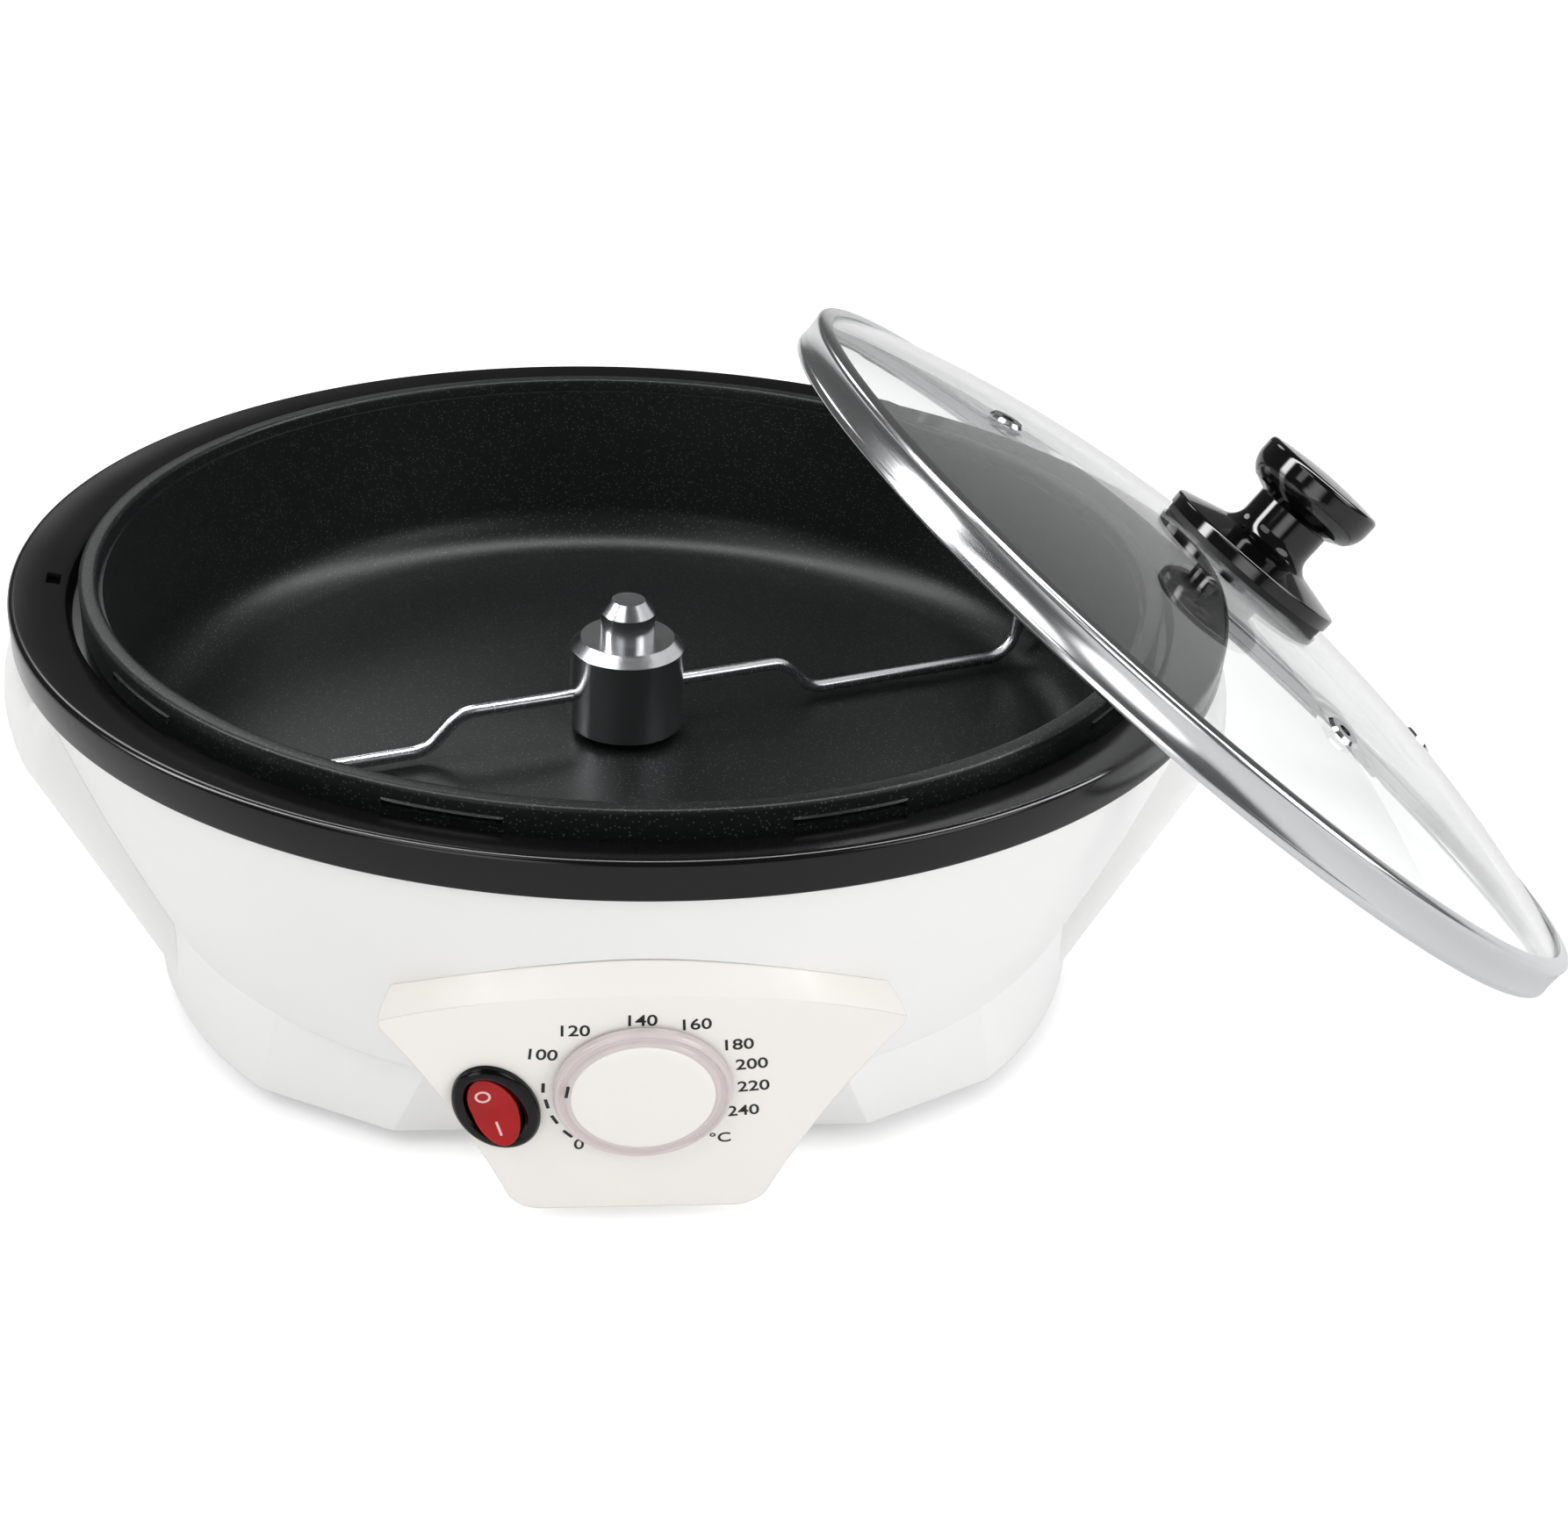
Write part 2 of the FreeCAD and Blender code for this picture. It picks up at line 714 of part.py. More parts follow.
def bent_rod(name, radius, route, bend):
    """A rod along straight runs joined by arcs of one radius, as one solid."""
    points = [V(*[number(size) for size in point]) for point in route]
    edges, start = [], points[0]
    for before, corner, after in zip(points, points[1:], points[2:]):
        arrive, leave = corner.sub(before).normalize(), after.sub(corner).normalize()
        half_turn = arrive.getAngle(leave) / 2
        reach = number(bend) * math.tan(half_turn)
        arc_start = corner.sub(V(arrive).multiply(reach))
        arc_end = corner.add(V(leave).multiply(reach))
        inward = V(leave).sub(arrive).normalize()
        sagitta = number(bend) * (1 / math.cos(half_turn) - 1)
        arc_middle = corner.add(inward.multiply(sagitta))
        edges.append(Part.makeLine(start, arc_start))
        edges.append(Part.Arc(arc_start, arc_middle, arc_end).toShape())
        start = arc_end
    edges.append(Part.makeLine(start, points[-1]))
    section = Part.makeCircle(number(radius), points[0], points[1].sub(points[0]))
    rod = Part.Wire(edges).makePipeShell([Part.Wire([section])], True, False)
    piece = doc.addObject("Part::Feature", name)
    piece.Shape = rod
    return piece


def screw(name, frame, shank_radius, length, head_radius, head_height):
    """A cheese-head screw: its head stands on the frame's XY plane and its shank points down."""
    head = cylinder(name + "_head", head_radius, head_height)
    shank = cylinder(name + "_shank", shank_radius, length, z=-length)
    piece = fused(name, [head, shank])
    piece.Placement = frame
    return piece


def screws(name, frames, length, shank_radius=S.screw_radius, head_radius=S.screw_head_radius,
           head_height=S.screw_head_height):
    parts = [
        screw(f"{name}_{i}", frame, shank_radius, length, head_radius, head_height)
        for i, frame in enumerate(frames)
    ]
    return node(name, together(name + "_set", parts))


def drilled(name, base, frames, length, radius=S.screw_radius):
    """The base with a hole for the shank of each screw of those frames."""
    holes = []
    for i, frame in enumerate(frames):
        hole = cylinder(f"{name}_hole_{i}", radius, length)
        hole.Placement = frame.multiply(frame_at(0, 0, -length))
        holes.append(hole)
    return cut(name, base, together(name + "_holes", holes))


# ---------------------------------------------------------------- housing

def slanted_block(name, reach, lean, azimuth, bottom_z):
    """Everything beyond a plane that stands at reach from the axis and leans outwards going up."""
    wide, deep = S.plinth_radius * 3, S.plinth_radius
    block = doc.addObject("Part::Box", name)
    bind(block, Length=wide, Width=deep, Height=deep)
    turn = frame_at(0, 0, 0, (Z_AXIS, azimuth), (X_AXIS, lean))
    foot = frame_at(0, 0, 0, (Z_AXIS, azimuth)).multVec(V(0, -number(reach), number(bottom_z)))
    shift = turn.multVec(V(-number(wide) / 2, -number(deep), -number(deep) / 2))
    block.Placement = FreeCAD.Placement(foot.add(shift), turn.Rotation)
    return block


def plinth_form(name, inset, top_z):
    """The flat-sided lower part of the housing up to top_z, shrunk by inset."""
    plinth = revolved(name + "_round", [
        (0, S.housing_bottom_z),
        (S.plinth_radius - inset, S.housing_bottom_z),
        (S.waist_radius - inset, top_z),
        (0, top_z),
    ])
    blocks = []
    for i, back in enumerate((0.0, 180.0)):
        blocks.append(slanted_block(f"{name}_flat_{i}", S.front_flat_reach - inset,
                                    S.front_flat_lean, back, S.housing_bottom_z))
        for j, side in enumerate((-1, 1)):
            blocks.append(slanted_block(f"{name}_corner_{i}{j}", S.corner_flat_reach - inset,
                                        S.corner_flat_lean, back + side * S.corner_flat_azimuth,
                                        S.housing_bottom_z))
    return cut(name, plinth, together(name + "_flats", blocks))


def housing_form(name, inset):
    """The housing as a filled form, shrunk by inset for its hollow."""
    bowl = revolved(name + "_bowl", [
        (0, S.waist_z + inset),
        (S.waist_radius - inset, S.waist_z + inset),
        (S.belly_radius - inset, S.belly_z),
        (S.housing_rim_radius - inset, S.housing_rim_z),
        (0, S.housing_rim_z),
    ], {1: (S.belly_bend, 1), 2: (S.belly_bend, 1)})
    plinth = plinth_form(name + "_plinth", inset, S.waist_z + inset)
    grips = [grip_form(f"{name}_grip_{i}", inset, azimuth) for i, azimuth in enumerate((0.0, 180.0))]
    return fused(name, [bowl, plinth] + grips)


def grip_form(name, inset, azimuth):
    """One side grip: a swelling of the bowl over a sector, its long edges rounded."""
    thin = inset * 180.0 / (math.pi * number(S.grip_knee_radius))
    inner_radius = S.grip_foot_radius - S.grip_root_depth
    body = revolved(name, [
        (inner_radius, S.grip_top_z - inset),
        (S.grip_top_radius - inset, S.grip_top_z - inset),
        (S.grip_knee_radius - inset, S.grip_knee_z),
        (S.grip_foot_radius - inset, S.grip_foot_z),
        (inner_radius, S.grip_foot_z),
    ], {1: (S.grip_swell_round - inset, -1)}, angle=2 * (S.grip_half_angle - thin))

    def long_edge(edge):
        ends = [vertex.Point for vertex in edge.Vertexes]
        if len(ends) < 2 or abs(ends[0].z - ends[1].z) < number(S.housing_wall) / 2:
            return False
        innermost = min(math.hypot(p.x, p.y) for p in ends)
        return innermost > number(S.grip_foot_radius - inset - S.grip_root_depth / 2)

    round_edges(body, S.grip_edge_round - inset, long_edge)
    return place(body, rotation=turned((Z_AXIS, azimuth)))


# ---------------------------------------------------------------- control panel's own frame

def panel_point(x, s, n):
    """Row-frame place of a point across, up and out from the middle of the panel face's lower edge."""
    lean = S.panel_lean
    return (x, S.panel_bottom_y - s * sine(lean) - n * cosine(lean),
            S.panel_bottom_z + s * cosine(lean) - n * sine(lean))


def on_panel(piece, x, s, n, turn=0.0):
    return place(piece, *panel_point(x, s, n), rotation=turned((X_AXIS, 90.0 + S.panel_lean), (Z_AXIS, turn)))


def panel_frame(x, s, n, *turns):
    return frame_at(*panel_point(x, s, n), (X_AXIS, 90.0 + S.panel_lean), *turns)


def mirrored(right_side):
    """A closed outline from its right side, listed upwards."""
    return right_side + [(0 - x, y) for x, y in reversed(right_side)]


def panel_slab(name, inset, front_n, depth):
    """The panel's outline, shrunk by inset, from front_n back by depth; open upwards past the hood."""
    rise, run = S.panel_top_s - S.panel_corner_s, S.panel_top_half_width - S.panel_corner_half_width
    side = inset * root(rise * rise + run * run) / rise
    outline = mirrored([
        (S.panel_bottom_half_width - inset / 2, 0 + inset),
        (S.panel_corner_half_width - side, S.panel_corner_s + inset / 2),
        (S.panel_top_half_width - side, S.panel_top_s),
        (S.panel_side_half_width - side, S.panel_side_s),
    ])
    arcs = {0: (S.panel_corner_round - inset / 2, 1), 1: (S.panel_side_bend, -1),
            5: (S.panel_side_bend, -1), 6: (S.panel_corner_round - inset / 2, 1)}
    return on_panel(extruded(name, outline, depth, arcs), 0, 0, front_n - depth)


def bowl_reach(x, z):
    """How far in front of the axis the bowl's surface is, at x and z."""
    slope = (S.housing_rim_radius - S.waist_radius) / (S.housing_rim_z - S.waist_z)
    radius = S.waist_radius + (z - S.waist_z) * slope + S.belly_rise
    return root(radius * radius - x * x)


def hood_form(name, inset):
    """The panel's body lengthwise in X: its roof runs from the face's arch back to the bowl."""
    body = doc.addObject("PartDesign::Body", name)
    sections = [
        (S.panel_side_half_width + S.hood_side_margin, S.arch_end_s, S.hood_end_z, S.sink_end_back, 1),
        (S.arch_middle_x, S.arch_middle_s, S.hood_middle_z, S.sink_middle_back, S.sink_middle_down),
        (S.arch_middle_x * 0, S.arch_centre_s, S.hood_centre_z, 1, S.sink_centre_down),
    ]
    stations = [(-1, sections[0]), (-1, sections[1]), (1, sections[2]), (1, sections[1]), (1, sections[0])]
    sketches = []
    for sign, (x, arch_s, hood_z, back, down) in stations:
        bottom = panel_point(0, S.front_margin * -2, S.front_margin)
        face = panel_point(0, arch_s, 0)
        meet_y = 0 - bowl_reach(x, hood_z)
        run_y, run_z = meet_y - face[1], hood_z - face[2]
        sink_y, sink_z = inset * back, inset * down
        over, lead = S.roof_overrun, S.roof_lead
        outline = [
            (bottom[1], bottom[2]),
            (0 - S.hood_root_reach, bottom[2]),
            (0 - S.hood_root_reach, face[2] + run_z * over - sink_z),
            (face[1] + run_y * over + sink_y, face[2] + run_z * over - sink_z),
            (face[1] - run_y * lead + sink_y, face[2] - run_z * lead - sink_z),
        ]
        sketches.append(draw(body, "YZ_Plane", outline, offset=sign * x))
    loft = body.newObject("PartDesign::AdditiveLoft", name + "_loft")
    loft.Profile = sketches[0]
    loft.Sections = sketches[1:]
    return body


def panel_form(name, inset):
    slab = panel_slab(name + "_slab", inset, 0 - inset, S.panel_depth)
    return common(name, hood_form(name + "_hood", inset), slab)


def ring_of(count, start):
    """Azimuths of copies spread evenly round the axis."""
    copies = int(number(count))
    return [number(start) + 360.0 * i / copies for i in range(copies)]


def round_axis(piece, azimuth):
    """Turns a piece that is made on the +X side round the roaster's axis."""
    for axis in ("x", "y", "z"):
        piece.setExpression(f"Placement.Base.{axis}", None)
    turn = FreeCAD.Placement(V(0, 0, 0), turned((Z_AXIS, azimuth)))
    piece.Placement = turn.multiply(piece.Placement)
    return piece


def four_corners(reach, azimuth, z, *turns):
    """Four frames at that reach from the axis, an equal turn before and behind its left and right."""
    x, y = reach * cosine(azimuth), reach * sine(azimuth)
    return [frame_at(i * x, j * y, z, *turns) for i in (-1, 1) for j in (-1, 1)]


UPSIDE_DOWN = (X_AXIS, 180.0)

# ---------------------------------------------------------------- housing, base cover and feet

post_frames = four_corners(S.post_reach, S.post_azimuth, S.housing_bottom_z, UPSIDE_DOWN)
panel_screw_places = [(side * x, s, n) for side in (-1, 1)
                      for x, s, n in ((S.panel_upper_screw_x, S.panel_upper_screw_s, S.panel_upper_screw_n),
                                      (S.panel_lower_screw_x, S.panel_lower_screw_s, S.panel_lower_screw_n))]
panel_screw_frames = [panel_frame(x, s, n, UPSIDE_DOWN) for x, s, n in panel_screw_places]
gland_lean = S.front_flat_lean
gland_y = S.front_flat_reach + (S.gland_z - S.housing_bottom_z) * tangent(gland_lean)


def at_gland(piece, out=0.0):
    """Places a piece on the back flat, its +Z along the cord's way out."""
    return place(piece, 0, gland_y + out * cosine(gland_lean), S.gland_z - out * sine(gland_lean),
                 turned((X_AXIS, -90.0 - gland_lean)))


def housing_node():
    outside = housing_form("housing_outside", 0.0)
    inside = housing_form("housing_inside", S.housing_wall)
    shell = cut("housing_shell", outside, inside)
    cover_top = S.housing_bottom_z + S.cover_thickness
    ribs = []
    reach, azimuth = S.post_reach, S.post_azimuth
    for i, angle in enumerate((azimuth, 180 - azimuth, 180 + azimuth, 0 - azimuth)):
        rib = box(f"post_rib_{i}", S.post_rib_length, S.housing_wall, S.post_top_z - cover_top,
                  x=reach + S.post_rib_length / 2, z=cover_top)
        post = cylinder(f"post_{i}", S.post_radius, S.post_top_z - cover_top, x=reach, z=cover_top)
        ribs += [round_axis(rib, angle), round_axis(post, angle)]
    for i, (x, s, n) in enumerate(panel_screw_places):
        ribs.append(on_panel(cylinder(f"panel_boss_{i}", S.panel_boss_radius, S.panel_boss_length), x, s, n))
    inner_ribs = common("housing_ribs", fused("housing_posts", ribs), outside)
    window = on_panel(extruded("window", mirrored([
        (S.window_bottom_half_width, S.window_bottom_s),
        (S.window_knee_half_width, S.window_knee_s),
        (S.window_top_half_width, S.window_top_s),
    ]), S.panel_depth), 0, 0, S.window_front_n - S.panel_depth)
    whole = fused("housing_whole", [shell, inner_ribs])
    gland_hole = at_gland(cylinder("gland_hole", S.gland_radius, S.gland_length * 2), 0 - S.gland_length)
    pierced = cut("housing_pierced", whole, together("housing_openings", [window, gland_hole]))
    screwed = drilled("housing_base_drilled", pierced, post_frames, S.base_screw_length)
    node("housing", drilled("housing_drilled", screwed, panel_screw_frames, S.panel_screw_length))
    return outside


housing_outside = housing_node()
screws("base_screws", post_frames, S.base_screw_length)
screws("panel_screws", panel_screw_frames, S.panel_screw_length)

foot_frames = four_corners(S.foot_reach, S.foot_azimuth, S.foot_recess_depth, UPSIDE_DOWN)


def base_cover_node():
    top = S.housing_bottom_z + S.cover_thickness
    plate = plinth_form("cover_plate", S.housing_wall + S.cover_gap, top)
    well = cylinder("cover_well", S.well_radius + S.cover_thickness, top - S.well_face_z, z=S.well_face_z)
    bosses = [cylinder(f"foot_boss_{i}", S.foot_boss_radius, S.foot_boss_height + S.cover_thickness,
                       frame.Base.x, frame.Base.y, S.housing_bottom_z) for i, frame in enumerate(foot_frames)]
    solid = fused("cover_solid", [plate, well] + bosses)
    hollow = cylinder("cover_hollow", S.well_radius, top, z=S.well_face_z + S.cover_thickness)
    vents = [round_axis(box(f"vent_{i}", S.vent_length, S.vent_width, top, x=S.vent_radius, z=1.0), azimuth)
             for i, azimuth in enumerate(ring_of(S.vent_count, 180.0 / number(S.vent_count)))]
    open_plate = cut("cover_open", solid, together("cover_openings", [hollow] + vents))
    screwed = drilled("cover_post_drilled", open_plate, post_frames, S.base_screw_length)
    footed = drilled("cover_foot_drilled", screwed, foot_frames, S.foot_screw_length)
    blocked = drilled("cover_block_drilled", footed, block_screw_frames, S.block_screw_length)
    return node("base_cover", drilled("cover_drilled", blocked, bracket_screw_frames, S.bracket_screw_length))


bracket_screw_x = S.bracket_length / 2 + S.bracket_foot_length / 2
bracket_foot_z = S.housing_bottom_z + S.cover_thickness
bracket_screw_frames = [frame_at(i * bracket_screw_x, 0, bracket_foot_z + S.bracket_thickness)
                        for i in (-1, 1)]
block_top_z = bracket_foot_z + S.block_height
block_screw_frames = [frame_at(i * S.block_screw_x, S.block_y, block_top_z) for i in (-1, 1)]
clamp_screw_frames = [frame_at(i * S.clamp_screw_x, S.block_y, block_top_z) for i in (-1, 1)]
base_cover_node()
screws("bracket_screws", bracket_screw_frames, S.bracket_screw_length)


def foot(name, frame):
    rubber = revolved(name, [
        (S.foot_recess_radius, 0),
        (S.foot_radius - S.foot_edge, 0),
        (S.foot_radius, S.foot_edge),
        (S.foot_radius, S.housing_bottom_z),
        (S.screw_radius, S.housing_bottom_z),
        (S.screw_radius, S.foot_recess_depth),
        (S.foot_recess_radius, S.foot_recess_depth),
    ])
    rubber.Placement = FreeCAD.Placement(V(frame.Base.x, frame.Base.y, 0), turned())
    return rubber


node("rubber_feet", together("feet_set", [foot(f"foot_{i}", frame) for i, frame in enumerate(foot_frames)]))
screws("foot_screws", foot_frames, S.foot_screw_length)

# ---------------------------------------------------------------- trim ring and pan


def trim_ring_node():
    slope = (S.ring_top_z - S.ring_slope_z) / (S.ring_radius - S.ring_edge_round - S.ring_slope_radius)
    skin = S.ring_skin
    lip_inner = S.ring_lip_radius - S.ring_lip_thickness
    under_z = S.ring_slope_z + (lip_inner - S.ring_slope_radius) * slope - skin
    foot_radius = S.ring_slope_radius + S.ring_step_run
    ring = revolved("ring_profile", [
        (S.ring_radius, S.housing_rim_z),
        (S.ring_radius, S.ring_top_z - S.ring_edge_round),
        (S.ring_radius - S.ring_edge_round, S.ring_top_z),
        (S.ring_slope_radius, S.ring_slope_z),
        (S.ring_slope_radius - S.ring_step_run, S.ring_channel_z),
        (S.ring_inner_radius, S.ring_channel_z),
        (S.ring_inner_radius, S.ring_channel_z - skin),
        (foot_radius, S.ring_channel_z - skin),
        (foot_radius + S.ring_step_run, S.ring_slope_z - skin + S.ring_step_run * slope),
        (lip_inner, under_z),
        (lip_inner, S.ring_lip_bottom_z),
        (S.ring_lip_radius, S.ring_lip_bottom_z),
        (S.ring_lip_radius, S.housing_rim_z),
    ], {1: (S.ring_edge_round, 1)})
    hook = box("hook_hole", S.hook_hole_width, S.hook_hole_length, skin * 4, x=S.hook_hole_radius,
               z=S.ring_channel_z)
    return node("trim_ring", cut("ring_cut", ring, round_axis(hook, S.hook_hole_azimuth)))


trim_ring_node()


def roasting_pan_node():
    underside = S.pan_floor_z - S.pan_wall
    corner_z = S.pan_floor_z + S.pan_corner_round
    outer_round = S.pan_corner_round + S.pan_wall
    edge = S.pan_rim_edge
    pan = revolved("pan_profile", [
        (S.pan_tube_bore, underside),
        (S.pan_tube_bore, S.pan_tube_top_z),
        (S.pan_tube_radius, S.pan_tube_top_z),
        (S.pan_tube_radius, S.pan_floor_z),
        (S.pan_floor_radius, S.pan_floor_z),
        (S.pan_floor_radius + S.pan_corner_round, corner_z),
        (S.pan_ledge_radius, S.pan_ledge_z),
        (S.pan_mouth_radius, S.pan_ledge_z),
        (S.pan_mouth_radius, S.pan_rim_z - edge),
        (S.pan_mouth_radius + edge, S.pan_rim_z),
        (S.pan_rim_radius - edge, S.pan_rim_z),
        (S.pan_rim_radius, S.pan_rim_z - edge),
        (S.pan_rim_radius, S.ring_channel_z),
        (S.pan_ledge_radius + S.pan_wall + S.pan_wall_swell, S.ring_channel_z),
        (S.pan_floor_radius + outer_round, corner_z),
        (S.pan_floor_radius, underside),
    ], {4: (S.pan_corner_round, 1), 14: (outer_round, -1)})
    slots = [round_axis(box(f"pan_slot_{i}", S.pan_slot_depth * 2, S.pan_slot_length, S.pan_slot_height,
                            x=S.pan_rim_radius, z=S.pan_slot_z), azimuth)
             for i, azimuth in enumerate(ring_of(S.pan_slot_count, S.pan_slot_azimuth))]
    return node("roasting_pan", cut("pan_slotted", pan, together("pan_slots", slots)))


roasting_pan_node()

# ---------------------------------------------------------------- heater under the pan

pan_underside = S.pan_floor_z - S.pan_wall
element_z = pan_underside - S.element_tube_radius
clamp_z = element_z - S.element_tube_radius - S.clamp_thickness
upper_nut_z = clamp_z - S.nut_height
stud_azimuths = ring_of(3, 90.0)
shield_z = upper_nut_z - S.spacer_height - S.shield_thickness
lower_nut_z = shield_z - S.nut_height


def on_studs(name, maker):
    """One copy of a piece round each of the three studs."""
    return [round_axis(maker(f"{name}_{i}"), azimuth) for i, azimuth in enumerate(stud_azimuths)]


node("pan_studs", together("stud_set", on_studs("stud", lambda name: cylinder(
    name, S.stud_radius, S.stud_length, S.stud_circle, 0, pan_underside - S.stud_length))))
node("spacer_tubes", together("spacer_set", on_studs("spacer", lambda name: tube(
    name, S.nut_radius, S.stud_radius, S.spacer_height, S.stud_circle, 0, shield_z + S.shield_thickness))))


def hex_nut(name, across, bore, height, x, y, z):
    block = doc.addObject("Part::Prism", name + "_block")
    block.Polygon = 6
    bind(block, Circumradius=across, Height=height)
    return place(cut(name, block, cylinder(name + "_bore", bore, height)), x, y, z)


def stud_nuts_node():
    nuts = []
    for level in (upper_nut_z, lower_nut_z):
        nuts += on_studs(f"nut_{int(number(level))}", lambda name: hex_nut(
            name, S.nut_radius, S.stud_radius, S.nut_height, S.stud_circle, 0, level))
    return node("stud_nuts", together("nut_set", nuts))


stud_nuts_node()


def clamp_strip(name):
    """A strip under the element's tube, with the stud through its inner end."""
    inner = S.stud_circle - S.clamp_overhang
    length = S.element_circle + S.clamp_overhang - inner
    strip = box(name + "_strip", length, S.clamp_width, S.clamp_thickness, x=inner + length / 2, z=clamp_z)
    hole = cylinder(name + "_hole", S.stud_radius, S.clamp_thickness, S.stud_circle, 0, clamp_z)
    return cut(name, strip, hole)


node("element_clamps", together("clamp_set", on_studs("clamp", clamp_strip)))

element_end_azimuths = [90.0 + S.element_gap, 90.0 - S.element_gap]
element_end_x = S.element_circle * sine(S.element_gap)
element_end_y = S.element_circle * cosine(S.element_gap)
element_bottom_z = element_z - S.element_end_length


def heating_element_node():
    loop = doc.addObject("Part::Torus", "element_loop")
    bind(loop, Radius1=S.element_circle, Radius2=S.element_tube_radius, Angle3=360.0 - S.element_gap * 2)
    place(loop, 0, 0, element_z, turned((Z_AXIS, 90.0 + S.element_gap)))
    ends = []
    for i, side in enumerate((-1, 1)):
        elbow = doc.addObject("Part::Sphere", f"element_elbow_{i}")
        bind(elbow, Radius=S.element_tube_radius)
        ends.append(place(elbow, side * element_end_x, element_end_y, element_z))
        ends.append(cylinder(f"element_leg_{i}", S.element_tube_radius, S.element_end_length,
                             side * element_end_x, element_end_y, element_bottom_z))
    return node("heating_element", fused("element_whole", [loop] + ends))


heating_element_node()


def element_end(name, side):
    """A ceramic bead and its terminal pin under one leg of the element."""
    bead = cylinder(name + "_bead", S.element_tube_radius + S.bead_wall, S.bead_height,
                    side * element_end_x, element_end_y, element_bottom_z - S.bead_height)
    pin = cylinder(name + "_pin", S.lead_radius, S.bead_height, side * element_end_x, element_end_y,
                   element_bottom_z - S.bead_height * 2)
    return fused(name, [bead, pin])


node("element_ends", together("element_end_set", [element_end(f"element_end_{side + 1}", side)
                                                  for side in (-1, 1)]))


def heat_shield_node():
    skin = S.shield_thickness
    dish = revolved("shield_dish", [
        (S.shield_bore, shield_z),
        (S.shield_radius, shield_z),
        (S.shield_radius, shield_z + S.shield_rim_height),
        (S.shield_radius - skin, shield_z + S.shield_rim_height),
        (S.shield_radius - skin, shield_z + skin),
        (S.shield_bore, shield_z + skin),
    ])
    holes = on_studs("shield_hole", lambda name: cylinder(
        name, S.stud_radius, skin, S.stud_circle, 0, shield_z))
    holes += [cylinder(f"shield_leg_hole_{side + 1}", S.element_tube_radius + S.shield_leg_gap, skin,
                       side * element_end_x, element_end_y, shield_z) for side in (-1, 1)]
    return node("heat_shield", cut("shield_pierced", dish, together("shield_holes", holes)))


heat_shield_node()
bulb_z = pan_underside - S.bulb_radius
node("sensing_bulb", cylinder("bulb", S.bulb_radius, S.bulb_length, S.bulb_length / -2, 0 - S.bulb_offset,
                              bulb_z, turned((Y_AXIS, 90.0))))


def bulb_clip(name, x):
    """A U of spring strip that holds the bulb against the pan."""
    skin, half = S.clamp_thickness, S.bulb_radius + S.clamp_thickness / 2 + S.clip_gap
    floor_z = bulb_z - S.bulb_radius - skin
    floor = box(name + "_floor", S.clip_width, half * 2 + skin, skin, x, 0 - S.bulb_offset, floor_z)
    legs = [box(f"{name}_leg_{side + 1}", S.clip_width, skin, pan_underside - floor_z, x,
                side * half - S.bulb_offset, floor_z) for side in (-1, 1)]
    return fused(name, [floor] + legs)


node("bulb_clips", together("clip_set", [bulb_clip(f"clip_{side + 1}", side * S.bulb_length / 4)
                                         for side in (-1, 1)]))

cutout_body_z = pan_underside - S.cutout_height
node("thermal_cutout", cylinder("cutout", S.cutout_radius, S.cutout_height, 0, S.cutout_circle, cutout_body_z))


def cutout_bracket_node():
    """A stepped strip from the shield up to the cutout."""
    skin, width = S.clamp_thickness, S.clamp_width
    shield_top = shield_z + S.shield_thickness
    leg_y = S.cutout_circle + S.cutout_radius + skin
    foot_piece = box("cutout_foot", width, S.cutout_foot, skin, 0, leg_y + S.cutout_foot / 2, shield_top)
    leg = box("cutout_leg", width, skin, cutout_body_z - shield_top, 0, leg_y + skin / 2, shield_top)
    top_length = S.cutout_radius * 2 + skin * 2
    top = box("cutout_top", width, top_length, skin, 0, leg_y + skin - top_length / 2, cutout_body_z - skin)
    return node("cutout_bracket", fused("cutout_strip", [foot_piece, leg, top]))


cutout_bracket_node()

# ---------------------------------------------------------------- gear motor, shaft and stirrer

bracket_z = S.gearbox_top_z
motor_screw_frames = [frame_at(i * S.motor_screw_offset, 0, bracket_z + S.bracket_thickness) for i in (-1, 1)]
node("motor_can", cylinder("motor", S.motor_radius, S.motor_height, z=S.motor_bottom_z))


def gearbox_node():
    case = cylinder("gearbox", S.gearbox_radius, S.gearbox_height, z=S.gearbox_bottom_z)
    bore = cylinder("gearbox_bore", S.shaft_radius + S.running_gap, S.shaft_seat + S.bracket_thickness,
                    z=S.shaft_bottom_z - S.running_gap)
    return node("gearbox_case", drilled("gearbox_drilled", cut("gearbox_bored", case, bore),
                                        motor_screw_frames, S.motor_screw_length))


gearbox_node()


def motor_bracket_node():
    skin = S.bracket_thickness
    plate = box("bracket_plate", S.bracket_length, S.bracket_width, skin, z=bracket_z)
    pieces = [plate]
    for i in (-1, 1):
        leg = box(f"bracket_leg_{i + 1}", skin, S.bracket_width, bracket_z + skin - bracket_foot_z,
                  i * (S.bracket_length / 2 - skin / 2), 0, bracket_foot_z)
        toe_length = S.bracket_foot_length + skin
        toe = box(f"bracket_toe_{i + 1}", toe_length, S.bracket_width, skin,
                  i * (S.bracket_length / 2 - skin + toe_length / 2), 0, bracket_foot_z)
        pieces += [leg, toe]
    whole = fused("bracket_whole", pieces)
    bore = cylinder("bracket_bore", S.shaft_radius * 2, skin, z=bracket_z)
    screwed = drilled("bracket_motor_drilled", cut("bracket_bored", whole, bore), motor_screw_frames,
                      S.motor_screw_length)
    return node("motor_bracket", drilled("bracket_drilled", screwed, bracket_screw_frames,
                                         S.bracket_screw_length))


motor_bracket_node()
screws("motor_screws", motor_screw_frames, S.motor_screw_length)

